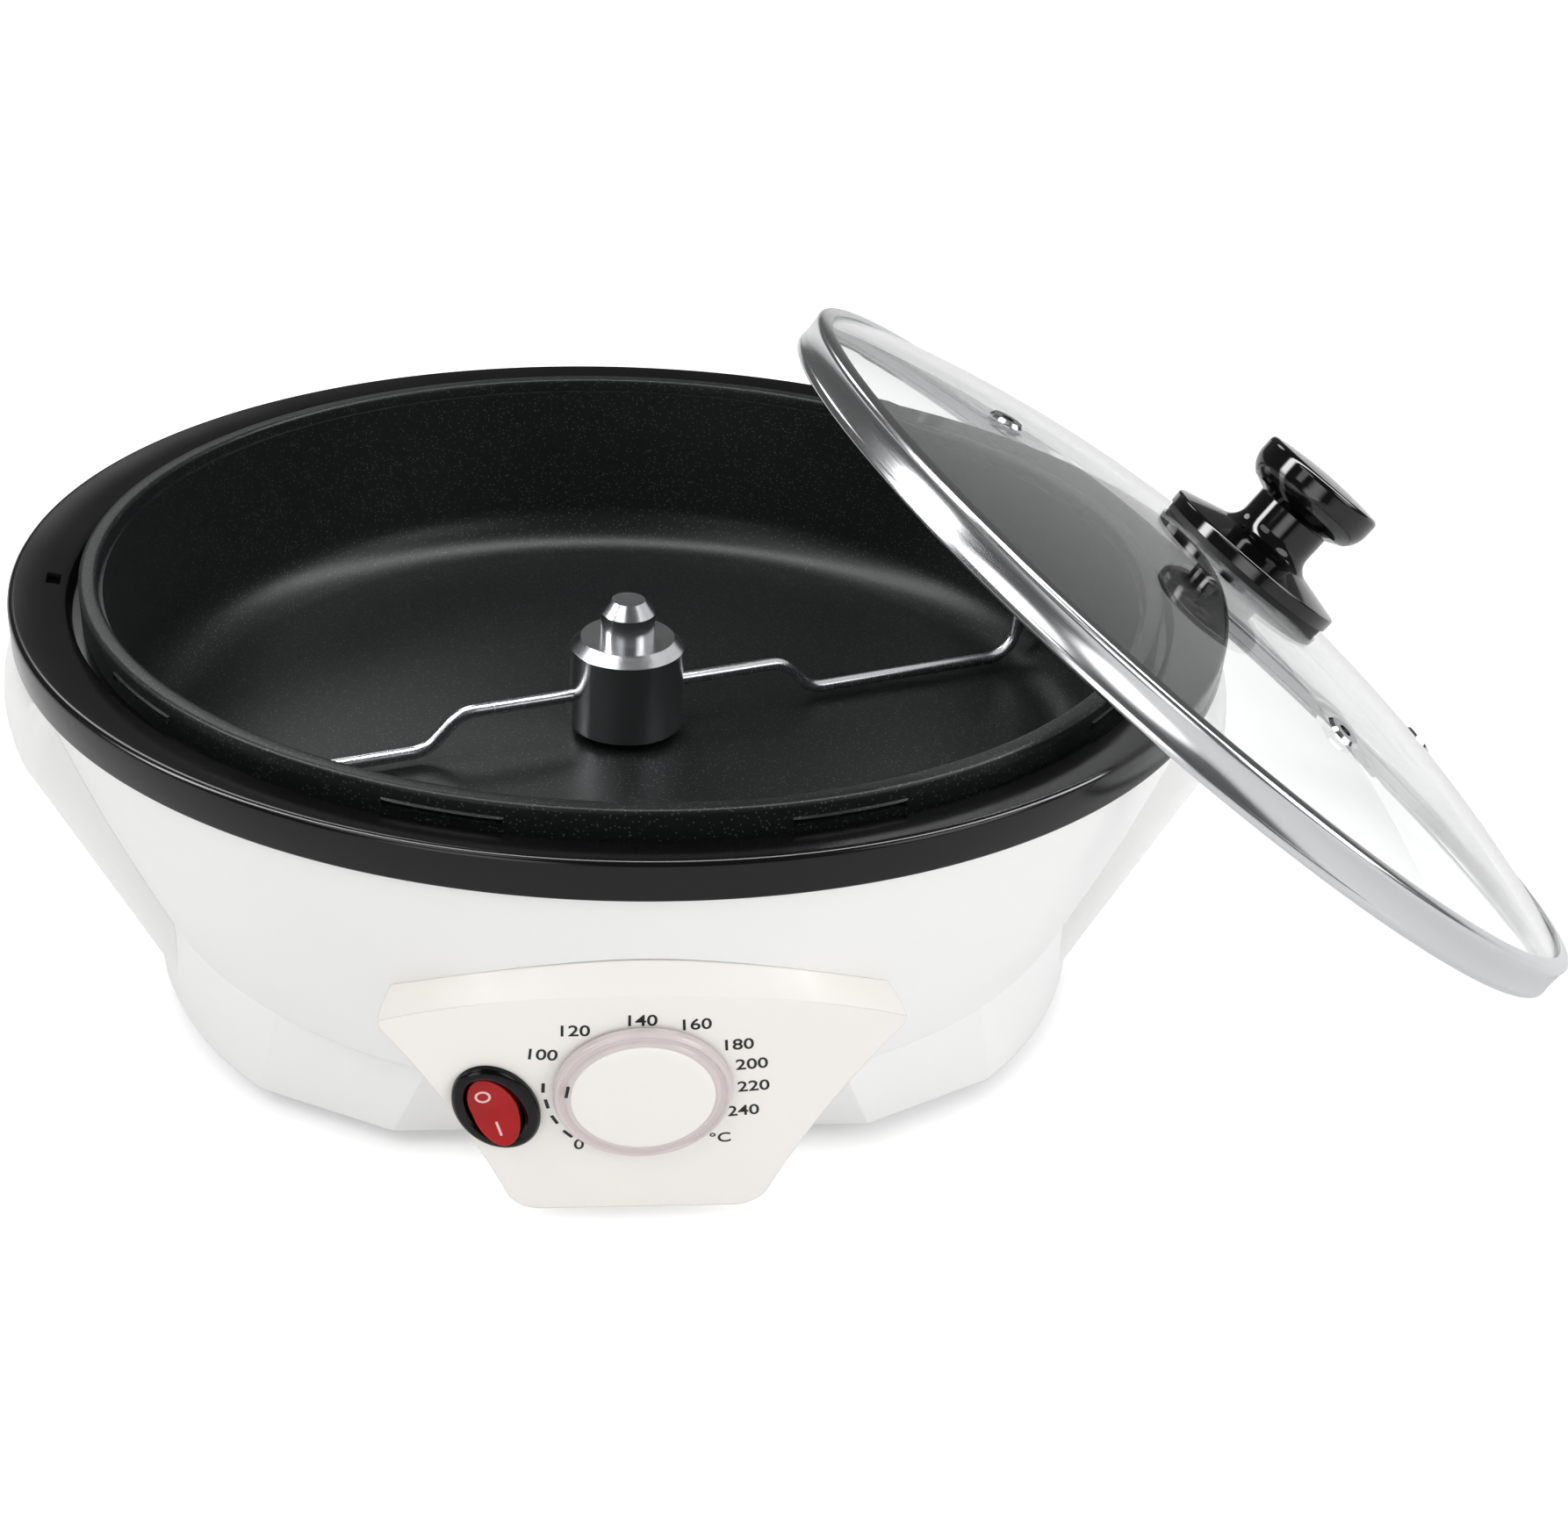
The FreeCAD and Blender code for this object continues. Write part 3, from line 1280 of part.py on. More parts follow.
bush_top_z = S.pan_tube_top_z - S.seal_height
node("shaft_bush", tube("bush", S.pan_tube_bore, S.shaft_radius + S.running_gap,
                        bush_top_z - S.bush_bottom_z, z=S.bush_bottom_z))
node("shaft_seal", tube("seal", S.pan_tube_bore, S.shaft_radius + S.running_gap, S.seal_height, z=bush_top_z))
node("shaft_circlip", tube("circlip", S.shaft_radius + S.circlip_width, S.shaft_radius, S.circlip_thickness,
                           z=S.circlip_z))


flat_middle_y = S.shaft_radius * 3 / 2 - S.shaft_flat_depth


def drive_shaft_node():
    """The gear motor's output shaft, with a flat where the hub sits on it."""
    bar = cylinder("shaft_bar", S.shaft_radius, S.shaft_top_z - S.shaft_bottom_z, z=S.shaft_bottom_z)
    flat = box("shaft_flat", S.shaft_radius * 2, S.shaft_radius, S.hub_cap_thickness,
               0, flat_middle_y, S.hub_top_z - S.hub_cap_thickness)
    return node("drive_shaft", cut("shaft_flatted", bar, flat))


drive_shaft_node()


def stir_rod(name, azimuth):
    """One arm: out of the hub, down to just above the floor, out to the wall and up it."""
    floor_z = S.pan_floor_z + S.rod_floor_gap + S.rod_radius
    rod = bent_rod(name, S.rod_radius, [
        (S.hub_radius - S.rod_seat, 0, S.rod_root_z),
        (S.rod_drop_radius, 0, S.rod_root_z),
        (S.rod_drop_radius + (S.rod_root_z - floor_z), 0, floor_z),
        (S.rod_reach, 0, floor_z),
        (S.rod_reach + S.rod_tip_spread, 0, S.rod_tip_z),
    ], S.rod_bend)
    return round_axis(rod, azimuth)


def stir_hub_node(rods):
    skirt_bore = S.pan_tube_radius + S.hub_skirt_gap
    cap_z = S.hub_top_z - S.hub_cap_thickness
    hub = revolved("hub_profile", [
        (S.shaft_radius, cap_z),
        (S.shaft_radius, S.hub_top_z),
        (S.hub_radius - S.hub_chamfer, S.hub_top_z),
        (S.hub_radius, S.hub_top_z - S.hub_chamfer),
        (S.hub_radius, S.hub_bottom_z),
        (skirt_bore, S.hub_bottom_z),
        (skirt_bore, cap_z),
    ])
    key = box("hub_key", S.shaft_radius * 2, S.shaft_radius, S.hub_cap_thickness,
              0, flat_middle_y, cap_z)
    keyed = fused("hub_keyed", [hub, common("hub_key_round", key, cylinder(
        "hub_key_bound", S.shaft_radius + S.shaft_flat_depth / 2, S.hub_cap_thickness, z=cap_z))])
    return node("stir_hub", cut("hub_socketed", keyed, together("hub_sockets", rods)))


rods = [stir_rod(f"rod_{i}", azimuth) for i, azimuth in enumerate(ring_of(2, S.rod_azimuth))]
stir_hub_node([stir_rod(f"socket_{i}", azimuth) for i, azimuth in enumerate(ring_of(2, S.rod_azimuth))])
node("stir_rods", together("rod_set", rods))
node("stir_cap_nut", revolved("cap_nut", [
    (S.shaft_radius, S.hub_top_z),
    (S.cap_nut_radius, S.hub_top_z),
    (S.cap_nut_radius, S.hub_top_z + S.cap_nut_side),
    (S.cap_nut_radius - S.cap_nut_chamfer, S.hub_top_z + S.cap_nut_height),
    (0, S.hub_top_z + S.cap_nut_height),
    (0, S.shaft_top_z),
    (S.shaft_radius, S.shaft_top_z),
]))

# ---------------------------------------------------------------- control panel and what it holds


def pill(name, half_width, half_height, depth):
    """An upright bar with round ends, its foot on XY."""
    run = half_height - half_width
    ends = [cylinder(f"{name}_end_{side + 1}", half_width, depth, 0, side * run) for side in (-1, 1)]
    return fused(name, [box(name + "_middle", half_width * 2, run * 2, depth)] + ends)


def at_switch(piece, n):
    return on_panel(piece, S.switch_x, S.switch_s, n, S.switch_turn)


thermostat_screw_frames = [panel_frame(i * S.thermostat_screw_offset, S.dial_s, 0 - S.counterbore_depth)
                           for i in (-1, 1)]


def control_panel_node():
    skin = S.panel_wall
    shell = cut("panel_shell", panel_form("panel_outside", 0.0), panel_form("panel_inside", skin))
    bosses = [on_panel(cylinder(f"panel_post_{i}", S.panel_boss_radius, 0 - skin - n), x, s, n)
              for i, (x, s, n) in enumerate(panel_screw_places)]
    seated = cut("panel_seated", fused("panel_whole", [shell] + bosses), housing_outside)
    openings = [
        on_panel(cylinder("spindle_hole", S.spindle_hole_radius, skin * 3), 0, S.dial_s, 0 - skin * 2),
        at_switch(pill("switch_hole", S.switch_half_width, S.switch_half_height, S.switch_depth * 2),
                  0 - S.switch_depth),
    ]
    for i in (-1, 1):
        openings.append(on_panel(cylinder(f"counterbore_{i + 1}", S.screw_head_radius, S.counterbore_depth * 2),
                                 i * S.thermostat_screw_offset, S.dial_s, 0 - S.counterbore_depth))
    pierced = cut("panel_pierced", seated, together("panel_openings", openings))
    screwed = drilled("panel_screwed", pierced, panel_screw_frames, S.panel_screw_length)
    return node("control_panel", drilled("panel_drilled", screwed, thermostat_screw_frames,
                                         S.thermostat_screw_length))


control_panel_node()
screws("thermostat_screws", thermostat_screw_frames, S.thermostat_screw_length)


def thermostat_body_node():
    height = S.thermostat_top_s - S.thermostat_bottom_s
    depth = 0 - S.panel_wall - S.thermostat_rear_n
    case = extruded("thermostat_case", [
        (S.thermostat_width / -2, S.thermostat_bottom_s),
        (S.thermostat_width / 2, S.thermostat_bottom_s),
        (S.thermostat_width / 2, S.thermostat_bottom_s + height),
        (S.thermostat_width / -2, S.thermostat_bottom_s + height),
    ], depth)
    on_panel(case, 0, 0, S.thermostat_rear_n)
    bore = on_panel(cylinder("thermostat_bore", S.spindle_radius + S.running_gap, S.panel_depth),
                    0, S.dial_s, S.spindle_root_n - S.running_gap)
    return node("thermostat_body", drilled("thermostat_drilled", cut("thermostat_bored", case, bore),
                                           thermostat_screw_frames, S.thermostat_screw_length))


thermostat_body_node()


def blade(name, x, s, root_n, turn=0.0):
    """A flat terminal blade that points back into the housing."""
    tag = box(name, S.blade_width, S.blade_thickness, S.blade_length)
    tag.setExpression("Placement.Base.x", None)
    tag.setExpression("Placement.Base.y", None)
    lay = FreeCAD.Placement(V(-number(S.blade_width) / 2, -number(S.blade_thickness) / 2, 0), turned())
    tag.Placement = panel_frame(x, s, root_n - S.blade_length, (Z_AXIS, turn)).multiply(lay)
    return tag


blade_s = S.thermostat_bottom_s + S.blade_pitch
node("thermostat_terminals", together("thermostat_blades", [
    blade(f"thermostat_blade_{i + 1}", i * S.blade_pitch * 1.5, blade_s, S.thermostat_rear_n) for i in (-1, 1)]))
node("thermostat_shaft", on_panel(cylinder("spindle", S.spindle_radius, S.spindle_end_n - S.spindle_root_n),
                                  0, S.dial_s, S.spindle_root_n))
node("control_knob", on_panel(revolved("knob_profile", [
    (0, S.spindle_end_n),
    (S.spindle_radius, S.spindle_end_n),
    (S.spindle_radius, S.skirt_under_n),
    (S.knob_hub_radius, S.skirt_under_n),
    (S.knob_hub_radius, S.skirt_face_n),
    (S.knob_radius, S.skirt_face_n),
    (S.knob_radius, S.knob_edge_n),
    (S.knob_radius - S.pointer_height, S.knob_face_n),
    (0, S.knob_face_n),
]), 0, S.dial_s, 0))


def knob_skirt_node():
    edge = S.pointer_height
    disc = revolved("skirt_profile", [
        (S.knob_hub_radius, S.skirt_under_n),
        (S.skirt_radius, S.skirt_under_n),
        (S.skirt_radius, S.skirt_face_n - edge),
        (S.skirt_radius - edge, S.skirt_face_n),
        (S.knob_hub_radius, S.skirt_face_n),
    ])
    pointer = round_axis(box("pointer", S.pointer_length, S.pointer_width, S.pointer_height * 2,
                             x=S.knob_radius + S.pointer_length / 2, z=S.skirt_face_n - S.pointer_height),
                         S.pointer_azimuth)
    return node("knob_skirt", on_panel(fused("skirt", [disc, pointer]), 0, S.dial_s, 0))


knob_skirt_node()


def switch_body_node():
    bezel = pill("bezel", S.bezel_half_width, S.bezel_half_height, S.bezel_height)
    block = place(pill("switch_block", S.switch_half_width, S.switch_half_height, S.switch_depth), 0, 0,
                  0 - S.switch_depth)
    recess = place(pill("switch_recess", S.recess_half_width, S.recess_half_height, S.switch_depth), 0, 0,
                   0 - S.recess_depth)
    pin_length = S.rocker_pin_half_length + S.running_gap
    bore = cylinder("switch_bore", S.rocker_pin_radius + S.running_gap, pin_length * 2, 0 - pin_length,
                    rotation=turned((Y_AXIS, 90.0)))
    hollow = together("switch_openings", [recess, bore])
    return node("switch_body", at_switch(cut("switch_case", fused("switch_solid", [bezel, block]), hollow), 0))


switch_body_node()


def switch_rocker_node():
    width = S.rocker_half_width * 2
    wedge = extruded("rocker_wedge", [
        (S.rocker_foot_half_height, S.rocker_foot_n),
        (S.rocker_half_height, S.rocker_end_n),
        (0, S.rocker_middle_n),
        (0 - S.rocker_half_height, S.rocker_end_n),
        (0 - S.rocker_foot_half_height, S.rocker_foot_n),
    ], width)
    wedge.Placement = FreeCAD.Placement(V(-number(width) / 2, 0, 0), FreeCAD.Rotation(V(1, 1, 1), 120))
    outline = place(pill("rocker_outline", S.rocker_half_width, S.rocker_half_height, S.switch_depth * 2),
                    0, 0, 0 - S.switch_depth)
    pins = cylinder("rocker_pins", S.rocker_pin_radius, S.rocker_pin_half_length * 2,
                    0 - S.rocker_pin_half_length, rotation=turned((Y_AXIS, 90.0)))
    rocker = fused("rocker", [common("rocker_paddle", wedge, outline), pins])
    rocker.Placement = panel_frame(S.switch_x, S.switch_s, 0, (Z_AXIS, S.switch_turn),
                                   (X_AXIS, 0 - S.rocker_rest_tilt))
    return node("switch_rocker", rocker)


switch_rocker_node()


def switch_blade_place(along):
    """Panel place of a blade's root, that far up the switch from its middle."""
    return (S.switch_x - along * sine(S.switch_turn), S.switch_s + along * cosine(S.switch_turn))


node("switch_terminals", together("switch_blades", [
    blade(f"switch_blade_{i + 1}", *switch_blade_place(i * S.blade_pitch), 0 - S.switch_depth, S.switch_turn)
    for i in (-1, 0, 1)]))

# ---------------------------------------------------------------- capillary, cord entry and wiring

capillary_s = S.thermostat_top_s - S.capillary_drop
node("capillary_tube", bent_rod("capillary", S.capillary_radius, [
    panel_point(S.capillary_x, capillary_s, S.thermostat_rear_n),
    panel_point(S.capillary_x, capillary_s, S.thermostat_rear_n - S.lead_bend * 2),
    (-10.0, -112.0, 54.0),
    (-10.0, -90.0, 54.0),
    (-38.0, -64.0, 59.0),
    (-46.0, 0 - S.bulb_offset, bulb_z),
    (S.bulb_length / -2, 0 - S.bulb_offset, bulb_z),
], S.lead_bend))


def cord_gland_node():
    flange = cylinder("gland_flange", S.gland_flange_radius, S.gland_flange_height)
    barrel = cylinder("gland_barrel", S.gland_radius, S.gland_length, z=S.gland_flange_height - S.gland_length)
    bore = cylinder("gland_bore", S.gland_bore, S.gland_length, z=S.gland_flange_height - S.gland_length)
    return node("cord_gland", at_gland(cut("gland_bored", fused("gland_solid", [flange, barrel]), bore)))


cord_gland_node()
node("gland_nut", at_gland(tube("gland_ring", S.gland_flange_radius, S.gland_radius, S.gland_flange_height),
                           0 - S.housing_wall * cosine(gland_lean) - S.gland_flange_height))


def terminal_block_node():
    block = box("block", S.block_width, S.block_depth, S.block_height, 0, S.block_y, bracket_foot_z)
    fixed = drilled("block_fixed", block, block_screw_frames, S.block_screw_length)
    return node("terminal_block", drilled("block_drilled", fixed, clamp_screw_frames, S.clamp_screw_length))


terminal_block_node()
screws("block_screws", block_screw_frames, S.block_screw_length)
screws("terminal_screws", clamp_screw_frames, S.clamp_screw_length)
node("earth_stud", fused("earth_post", [
    cylinder("earth_bolt", S.stud_radius, S.earth_stud_height, S.earth_stud_x, S.earth_stud_y, bracket_foot_z),
    hex_nut("earth_nut", S.nut_radius, S.stud_radius, S.nut_height, S.earth_stud_x, S.earth_stud_y,
            bracket_foot_z),
]))


def lead(name, route):
    return bent_rod(name, S.lead_radius, route, S.lead_bend)


def internal_leads_node():
    blade_tip = 0 - S.switch_depth - S.blade_length
    live, load = [switch_blade_place(i * S.blade_pitch) for i in (1, -1)]
    block_front_y, block_back_y = S.block_y - S.block_depth / 2, S.block_y + S.block_depth / 2
    pin_z = element_bottom_z - S.bead_height * 2
    motor_x = 6.0
    motor_y = root(S.motor_radius * S.motor_radius - motor_x * motor_x) + S.running_gap * 5
    return node("internal_leads", together("lead_set", [
        lead("lead_live", [
            (-10.0, block_front_y, 15.0), (-10.0, 60.0, 15.0), (-52.0, 46.0, 12.0), (-52.0, -92.0, 12.0),
            (-40.0, -119.0, 26.0), panel_point(live[0], live[1], blade_tip - S.lead_stub),
            panel_point(live[0], live[1], blade_tip)]),
        lead("lead_load", [
            panel_point(load[0], load[1], blade_tip), panel_point(load[0], load[1], blade_tip - S.lead_stub),
            (-38.0, -108.0, 26.0), (-30.0, -96.0, 14.0), (52.0, -92.0, 14.0), (52.0, 62.0, 14.0),
            (36.0, 92.0, 14.0), (element_end_x, element_end_y, 14.0), (element_end_x, element_end_y, pin_z)]),
        lead("lead_return", [
            (0 - element_end_x, element_end_y, pin_z), (0 - element_end_x, element_end_y, 14.0),
            (-10.0, element_end_y + 2.0, 14.0), (-10.0, block_back_y, 14.0)]),
        lead("lead_motor", [(motor_x, block_front_y, 15.0), (motor_x, motor_y, 15.0)]),
    ]))


internal_leads_node()

# ---------------------------------------------------------------- lid, made level and then leant

band_inner = S.lid_radius - S.lid_band_thickness
glass_rise = S.lid_apex - S.lid_glass_edge_top
dome_radius = (band_inner * band_inner + glass_rise * glass_rise) / (glass_rise * 2)
dome_inner = dome_radius - S.lid_glass_thickness
dome_centre = S.lid_apex - dome_radius
lean_radius = S.washer_radius + S.lean_touch_gap
lean_height = dome_centre + root((dome_inner - S.lean_gap) * (dome_inner - S.lean_gap) - lean_radius * lean_radius)
lean_run = S.lid_radius + lean_radius
tilt = (arc_sine(S.ring_top_z / root(lean_run * lean_run + lean_height * lean_height))
        - arc_tangent(lean_height / lean_run))
lid_centre_z = S.lid_radius * sine(tilt)
apex_inner = S.lid_apex - S.lid_glass_thickness
sphere_z = lid_centre_z + cosine(tilt) * (apex_inner - dome_inner)
touch = root((dome_inner - S.lean_gap) * (dome_inner - S.lean_gap)
             - (S.ring_top_z - sphere_z) * (S.ring_top_z - sphere_z))
lid_reach = S.ring_radius - touch + sine(tilt) * (dome_inner - apex_inner)
lid_place = frame_at(0, 0, 0, (Z_AXIS, S.lid_azimuth)).multiply(
    frame_at(lid_reach, 0, lid_centre_z, (Y_AXIS, tilt)))


def lid_node(name, piece):
    """Names a piece of the lid and leans it against the trim ring."""
    piece.Placement = lid_place.multiply(piece.Placement)
    return node(name, piece)


def arc_through(run, rise):
    """Radius of an arc that ends upright after that run sideways and rise."""
    return (run * run + rise * rise) / (run * 2)


def dome_height(radius, sphere):
    return dome_centre + root(sphere * sphere - radius * radius)


def vent_frames():
    lean = math.degrees(math.asin(number(S.vent_circle) / number(dome_radius)))
    frames = []
    for azimuth in ring_of(4, 0.0):
        turn = frame_at(0, 0, 0, (Z_AXIS, azimuth), (Y_AXIS, lean))
        foot = V(0, 0, number(dome_centre)).add(turn.multVec(V(0, 0, number(dome_radius))))
        frames.append(FreeCAD.Placement(foot, turn.Rotation))
    return frames


def lid_glass_node():
    bore = S.lid_screw_radius
    glass = revolved("glass_profile", [
        (bore, dome_height(bore, dome_inner)),
        (band_inner, dome_height(band_inner, dome_inner)),
        (band_inner, S.lid_glass_edge_top),
        (bore, dome_height(bore, dome_radius)),
    ], {0: (dome_inner, -1), 2: (dome_radius, 1)})
    frames = [frame.multiply(frame_at(0, 0, S.lid_glass_thickness)) for frame in vent_frames()]
    return lid_node("lid_glass", drilled("glass_vented", glass, frames, S.lid_glass_thickness * 3,
                                         S.vent_hole_radius))


lid_glass_node()
lip_inner = S.lid_radius - S.lid_lip_width
lip_top = S.lid_band_height + S.lid_bead_height
lid_node("lid_rim", revolved("band_profile", [
    (band_inner, 0),
    (S.lid_radius, 0),
    (S.lid_radius, S.lid_band_height),
    (lip_inner, lip_top),
    (lip_inner, dome_height(lip_inner, dome_radius)),
    (band_inner, S.lid_glass_edge_top),
], {4: (dome_radius, -1)}))


def lid_vent(name, frame):
    under = 0 - S.lid_glass_thickness
    eyelet = revolved(name, [
        (S.vent_sleeve_bore, under),
        (S.vent_hole_radius, under),
        (S.vent_hole_radius, 0),
        (S.vent_flange_radius, 0),
        (S.vent_flange_radius - S.vent_flange_height, S.vent_flange_height),
        (S.vent_sleeve_bore, S.vent_flange_height),
    ])
    eyelet.Placement = frame
    return eyelet


lid_node("lid_vents", together("vent_set", [lid_vent(f"lid_vent_{i}", frame)
                                            for i, frame in enumerate(vent_frames())]))
gasket_top = S.lid_apex + S.gasket_thickness
gasket_radius = S.knob_flange_radius - S.gasket_inset
lid_node("knob_gasket", revolved("gasket_profile", [
    (S.lid_screw_radius, gasket_top),
    (S.lid_screw_radius, dome_height(S.lid_screw_radius, dome_radius)),
    (gasket_radius, dome_height(gasket_radius, dome_radius)),
    (gasket_radius, gasket_top),
], {1: (dome_radius, -1)}))


def lid_knob_node():
    flange_top = gasket_top + S.knob_flange_height
    foot_top = flange_top + S.knob_foot_height
    top = gasket_top + S.knob_total_height
    head_bottom = top - S.knob_head_height
    crown_z = top - S.knob_crown_rise
    blind = S.lid_screw_length - S.washer_thickness - S.lid_glass_thickness
    foot_run = S.knob_foot_radius - S.knob_waist_radius
    bowl_run = S.knob_head_radius - S.knob_bowl_radius
    edge, crown_radius = S.knob_head_round, S.knob_head_radius - S.knob_head_round
    return lid_node("lid_knob", revolved("knob_turning", [
        (S.lid_screw_radius, gasket_top),
        (S.knob_flange_radius, gasket_top),
        (S.knob_flange_radius, flange_top - S.knob_flange_edge),
        (S.knob_flange_radius - S.knob_flange_edge, flange_top),
        (S.knob_foot_radius, foot_top),
        (S.knob_waist_radius, foot_top + S.knob_waist_rise),
        (S.knob_waist_radius, head_bottom),
        (S.knob_bowl_radius, head_bottom + S.knob_under_rise),
        (S.knob_head_radius, head_bottom + S.knob_under_rise + S.knob_bowl_rise),
        (S.knob_head_radius, crown_z - edge),
        (crown_radius, crown_z),
        (0, top),
        (0, gasket_top + blind),
        (S.lid_screw_radius, gasket_top + blind),
    ], {2: (S.knob_flange_edge, 1), 4: (arc_through(foot_run, S.knob_waist_rise), -1),
        7: (arc_through(bowl_run, S.knob_bowl_rise), 1), 9: (edge, 1),
        10: (arc_through(S.knob_crown_rise, crown_radius), 1)}))


lid_knob_node()
washer_bore = S.lid_screw_radius
lid_node("knob_washer", revolved("washer_profile", [
    (washer_bore, dome_height(washer_bore, dome_inner)),
    (washer_bore, dome_height(washer_bore, dome_inner) - S.washer_thickness),
    (S.lid_screw_head_radius, dome_height(washer_bore, dome_inner) - S.washer_thickness),
    (S.washer_radius, dome_height(S.washer_radius, dome_inner) - S.washer_thickness),
    (S.washer_radius, dome_height(S.washer_radius, dome_inner)),
], {4: (dome_inner, 1)}))
lid_node("knob_screw", screw("lid_screw", frame_at(0, 0, dome_height(washer_bore, dome_inner)
                                                   - S.washer_thickness, UPSIDE_DOWN),
                             S.lid_screw_radius, S.lid_screw_length, S.lid_screw_head_radius,
                             S.lid_screw_head_height))

# ---------------------------------------------------------------- checks and STEP files

doc.recompute()
faulty = [piece.Name for piece in doc.Objects if "Invalid" in piece.State]
faulty += [name for name, piece in NODES.items()
           if piece.Shape.isNull() or not piece.Shape.isValid() or not piece.Shape.Solids]
if faulty:
    raise RuntimeError("pieces that did not build: " + ", ".join(faulty))
os.makedirs("parts", exist_ok=True)
for node_name, node_piece in NODES.items():
    node_piece.Shape.exportStep(os.path.join("parts", node_name + ".step"))
print(len(NODES), "pieces written")
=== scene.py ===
"""Countertop coffee bean roaster: finishes, turned and moulded surfaces and the printed dial scale."""
import math

import bmesh
import bpy
from bpy.props import FloatProperty, FloatVectorProperty, IntProperty, PointerProperty
from mathutils import Matrix, Vector


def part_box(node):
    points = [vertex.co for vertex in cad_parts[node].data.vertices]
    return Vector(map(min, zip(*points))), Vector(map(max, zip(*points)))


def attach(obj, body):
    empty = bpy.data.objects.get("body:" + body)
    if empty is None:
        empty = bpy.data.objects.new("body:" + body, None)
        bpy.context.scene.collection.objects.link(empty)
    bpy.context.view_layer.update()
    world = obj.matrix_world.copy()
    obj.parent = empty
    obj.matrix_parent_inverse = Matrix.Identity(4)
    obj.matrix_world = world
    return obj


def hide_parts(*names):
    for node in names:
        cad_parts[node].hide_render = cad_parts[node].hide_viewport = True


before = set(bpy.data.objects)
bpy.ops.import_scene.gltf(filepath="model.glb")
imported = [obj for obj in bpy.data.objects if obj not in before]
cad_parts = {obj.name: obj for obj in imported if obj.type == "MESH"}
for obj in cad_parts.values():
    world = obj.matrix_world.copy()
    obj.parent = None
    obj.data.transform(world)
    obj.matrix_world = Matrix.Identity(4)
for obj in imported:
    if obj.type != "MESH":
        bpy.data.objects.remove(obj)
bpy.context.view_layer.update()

MM = 0.001
SAME_PLACE = 0.002 * MM
WELD = 0.0001 * MM

bl_info = {
    "name": "Coffee bean roaster",
    "version": (1, 0, 0),
    "blender": (4, 5, 0),
    "location": "View3D > Sidebar > Roaster",
    "description": "Dresses the packed roaster: moulded shell, coated pan, printed dial and glass lid",
    "category": "Object",
}


def linear(hex_colour):
    """Turns an sRGB colour such as F2EFEB into Blender's linear values."""
    channels = [int(hex_colour[i:i + 2], 16) / 255 for i in (0, 2, 4)]
    return tuple(c / 12.92 if c <= 0.04045 else ((c + 0.055) / 1.055) ** 2.4 for c in channels)


def node_top(name):
    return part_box(name)[1].z


# ---------------------------------------------------------------- what a user may change

class RoasterSizes(bpy.types.PropertyGroup):
    """Sizes of the dressed surfaces and the strengths of the room's light."""
    ring_radius: FloatProperty(
        name="Ring radius", description="Outer radius of the black trim ring", subtype="DISTANCE",
        unit="LENGTH", default=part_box("trim_ring")[1].x)
    ring_top: FloatProperty(
        name="Ring top", description="Height of the trim ring's outer top edge", subtype="DISTANCE",
        unit="LENGTH", default=node_top("trim_ring"))
    pan_radius: FloatProperty(
        name="Pan radius", description="Outer radius of the pan's rim", subtype="DISTANCE", unit="LENGTH",
        default=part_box("roasting_pan")[1].x)
    pan_top: FloatProperty(
        name="Pan top", description="Height of the pan's rim", subtype="DISTANCE", unit="LENGTH",
        default=node_top("roasting_pan"))
    digit_height: FloatProperty(
        name="Digit height", description="Height of the printed numbers", subtype="DISTANCE", unit="LENGTH",
        default=3.7 * MM)
    ink_thickness: FloatProperty(
        name="Ink thickness", description="How far the print stands off the panel", subtype="DISTANCE",
        unit="LENGTH", default=0.05 * MM)
    turn_steps: IntProperty(
        name="Turning steps", description="Faces round each turned piece", min=48, max=720, default=288)
    room_light: FloatProperty(
        name="Room light", description="Strength of the room's even light", min=0.0, max=2.0, default=0.62)
    ceiling_shine: FloatProperty(
        name="Ceiling shine", description="How bright the strip light overhead is in reflections", min=0.0,
        max=50.0, default=20.0)
    window_shine: FloatProperty(
        name="Window shine", description="How bright the low window on the left is in reflections", min=0.0,
        max=20.0, default=3.0)
    dark_wall: FloatProperty(
        name="Dark wall", description="How bright the room's walls are in reflections", min=0.0, max=1.0,
        default=0.12)


class RoasterColours(bpy.types.PropertyGroup):
    """Colours of the visible finishes."""
    shell: FloatVectorProperty(
        name="Shell", description="Moulded housing", subtype="COLOR", min=0, max=1,
        default=linear("F8F8F7"))
    panel: FloatVectorProperty(
        name="Panel", description="Control panel and dial", subtype="COLOR", min=0, max=1,
        default=linear("FAF7F2"))
    trim: FloatVectorProperty(
        name="Trim", description="Black trim ring", subtype="COLOR", min=0, max=1, default=linear("0D0D0F"))
    pan: FloatVectorProperty(
        name="Pan", description="Non-stick coating", subtype="COLOR", min=0, max=1, default=linear("161818"))
    knob: FloatVectorProperty(
        name="Knob", description="Lid knob", subtype="COLOR", min=0, max=1, default=linear("0A0A0B"))
    rocker: FloatVectorProperty(
        name="Rocker", description="Rocker of the switch", subtype="COLOR", min=0, max=1,
        default=linear("B80C10"))
    ink: FloatVectorProperty(
        name="Ink", description="Printed scale", subtype="COLOR", min=0, max=1, default=linear("0A0A0B"))


def sizes():
    return bpy.context.scene.roaster_sizes


def colours():
    return bpy.context.scene.roaster_colours


# ---------------------------------------------------------------- places on the roaster

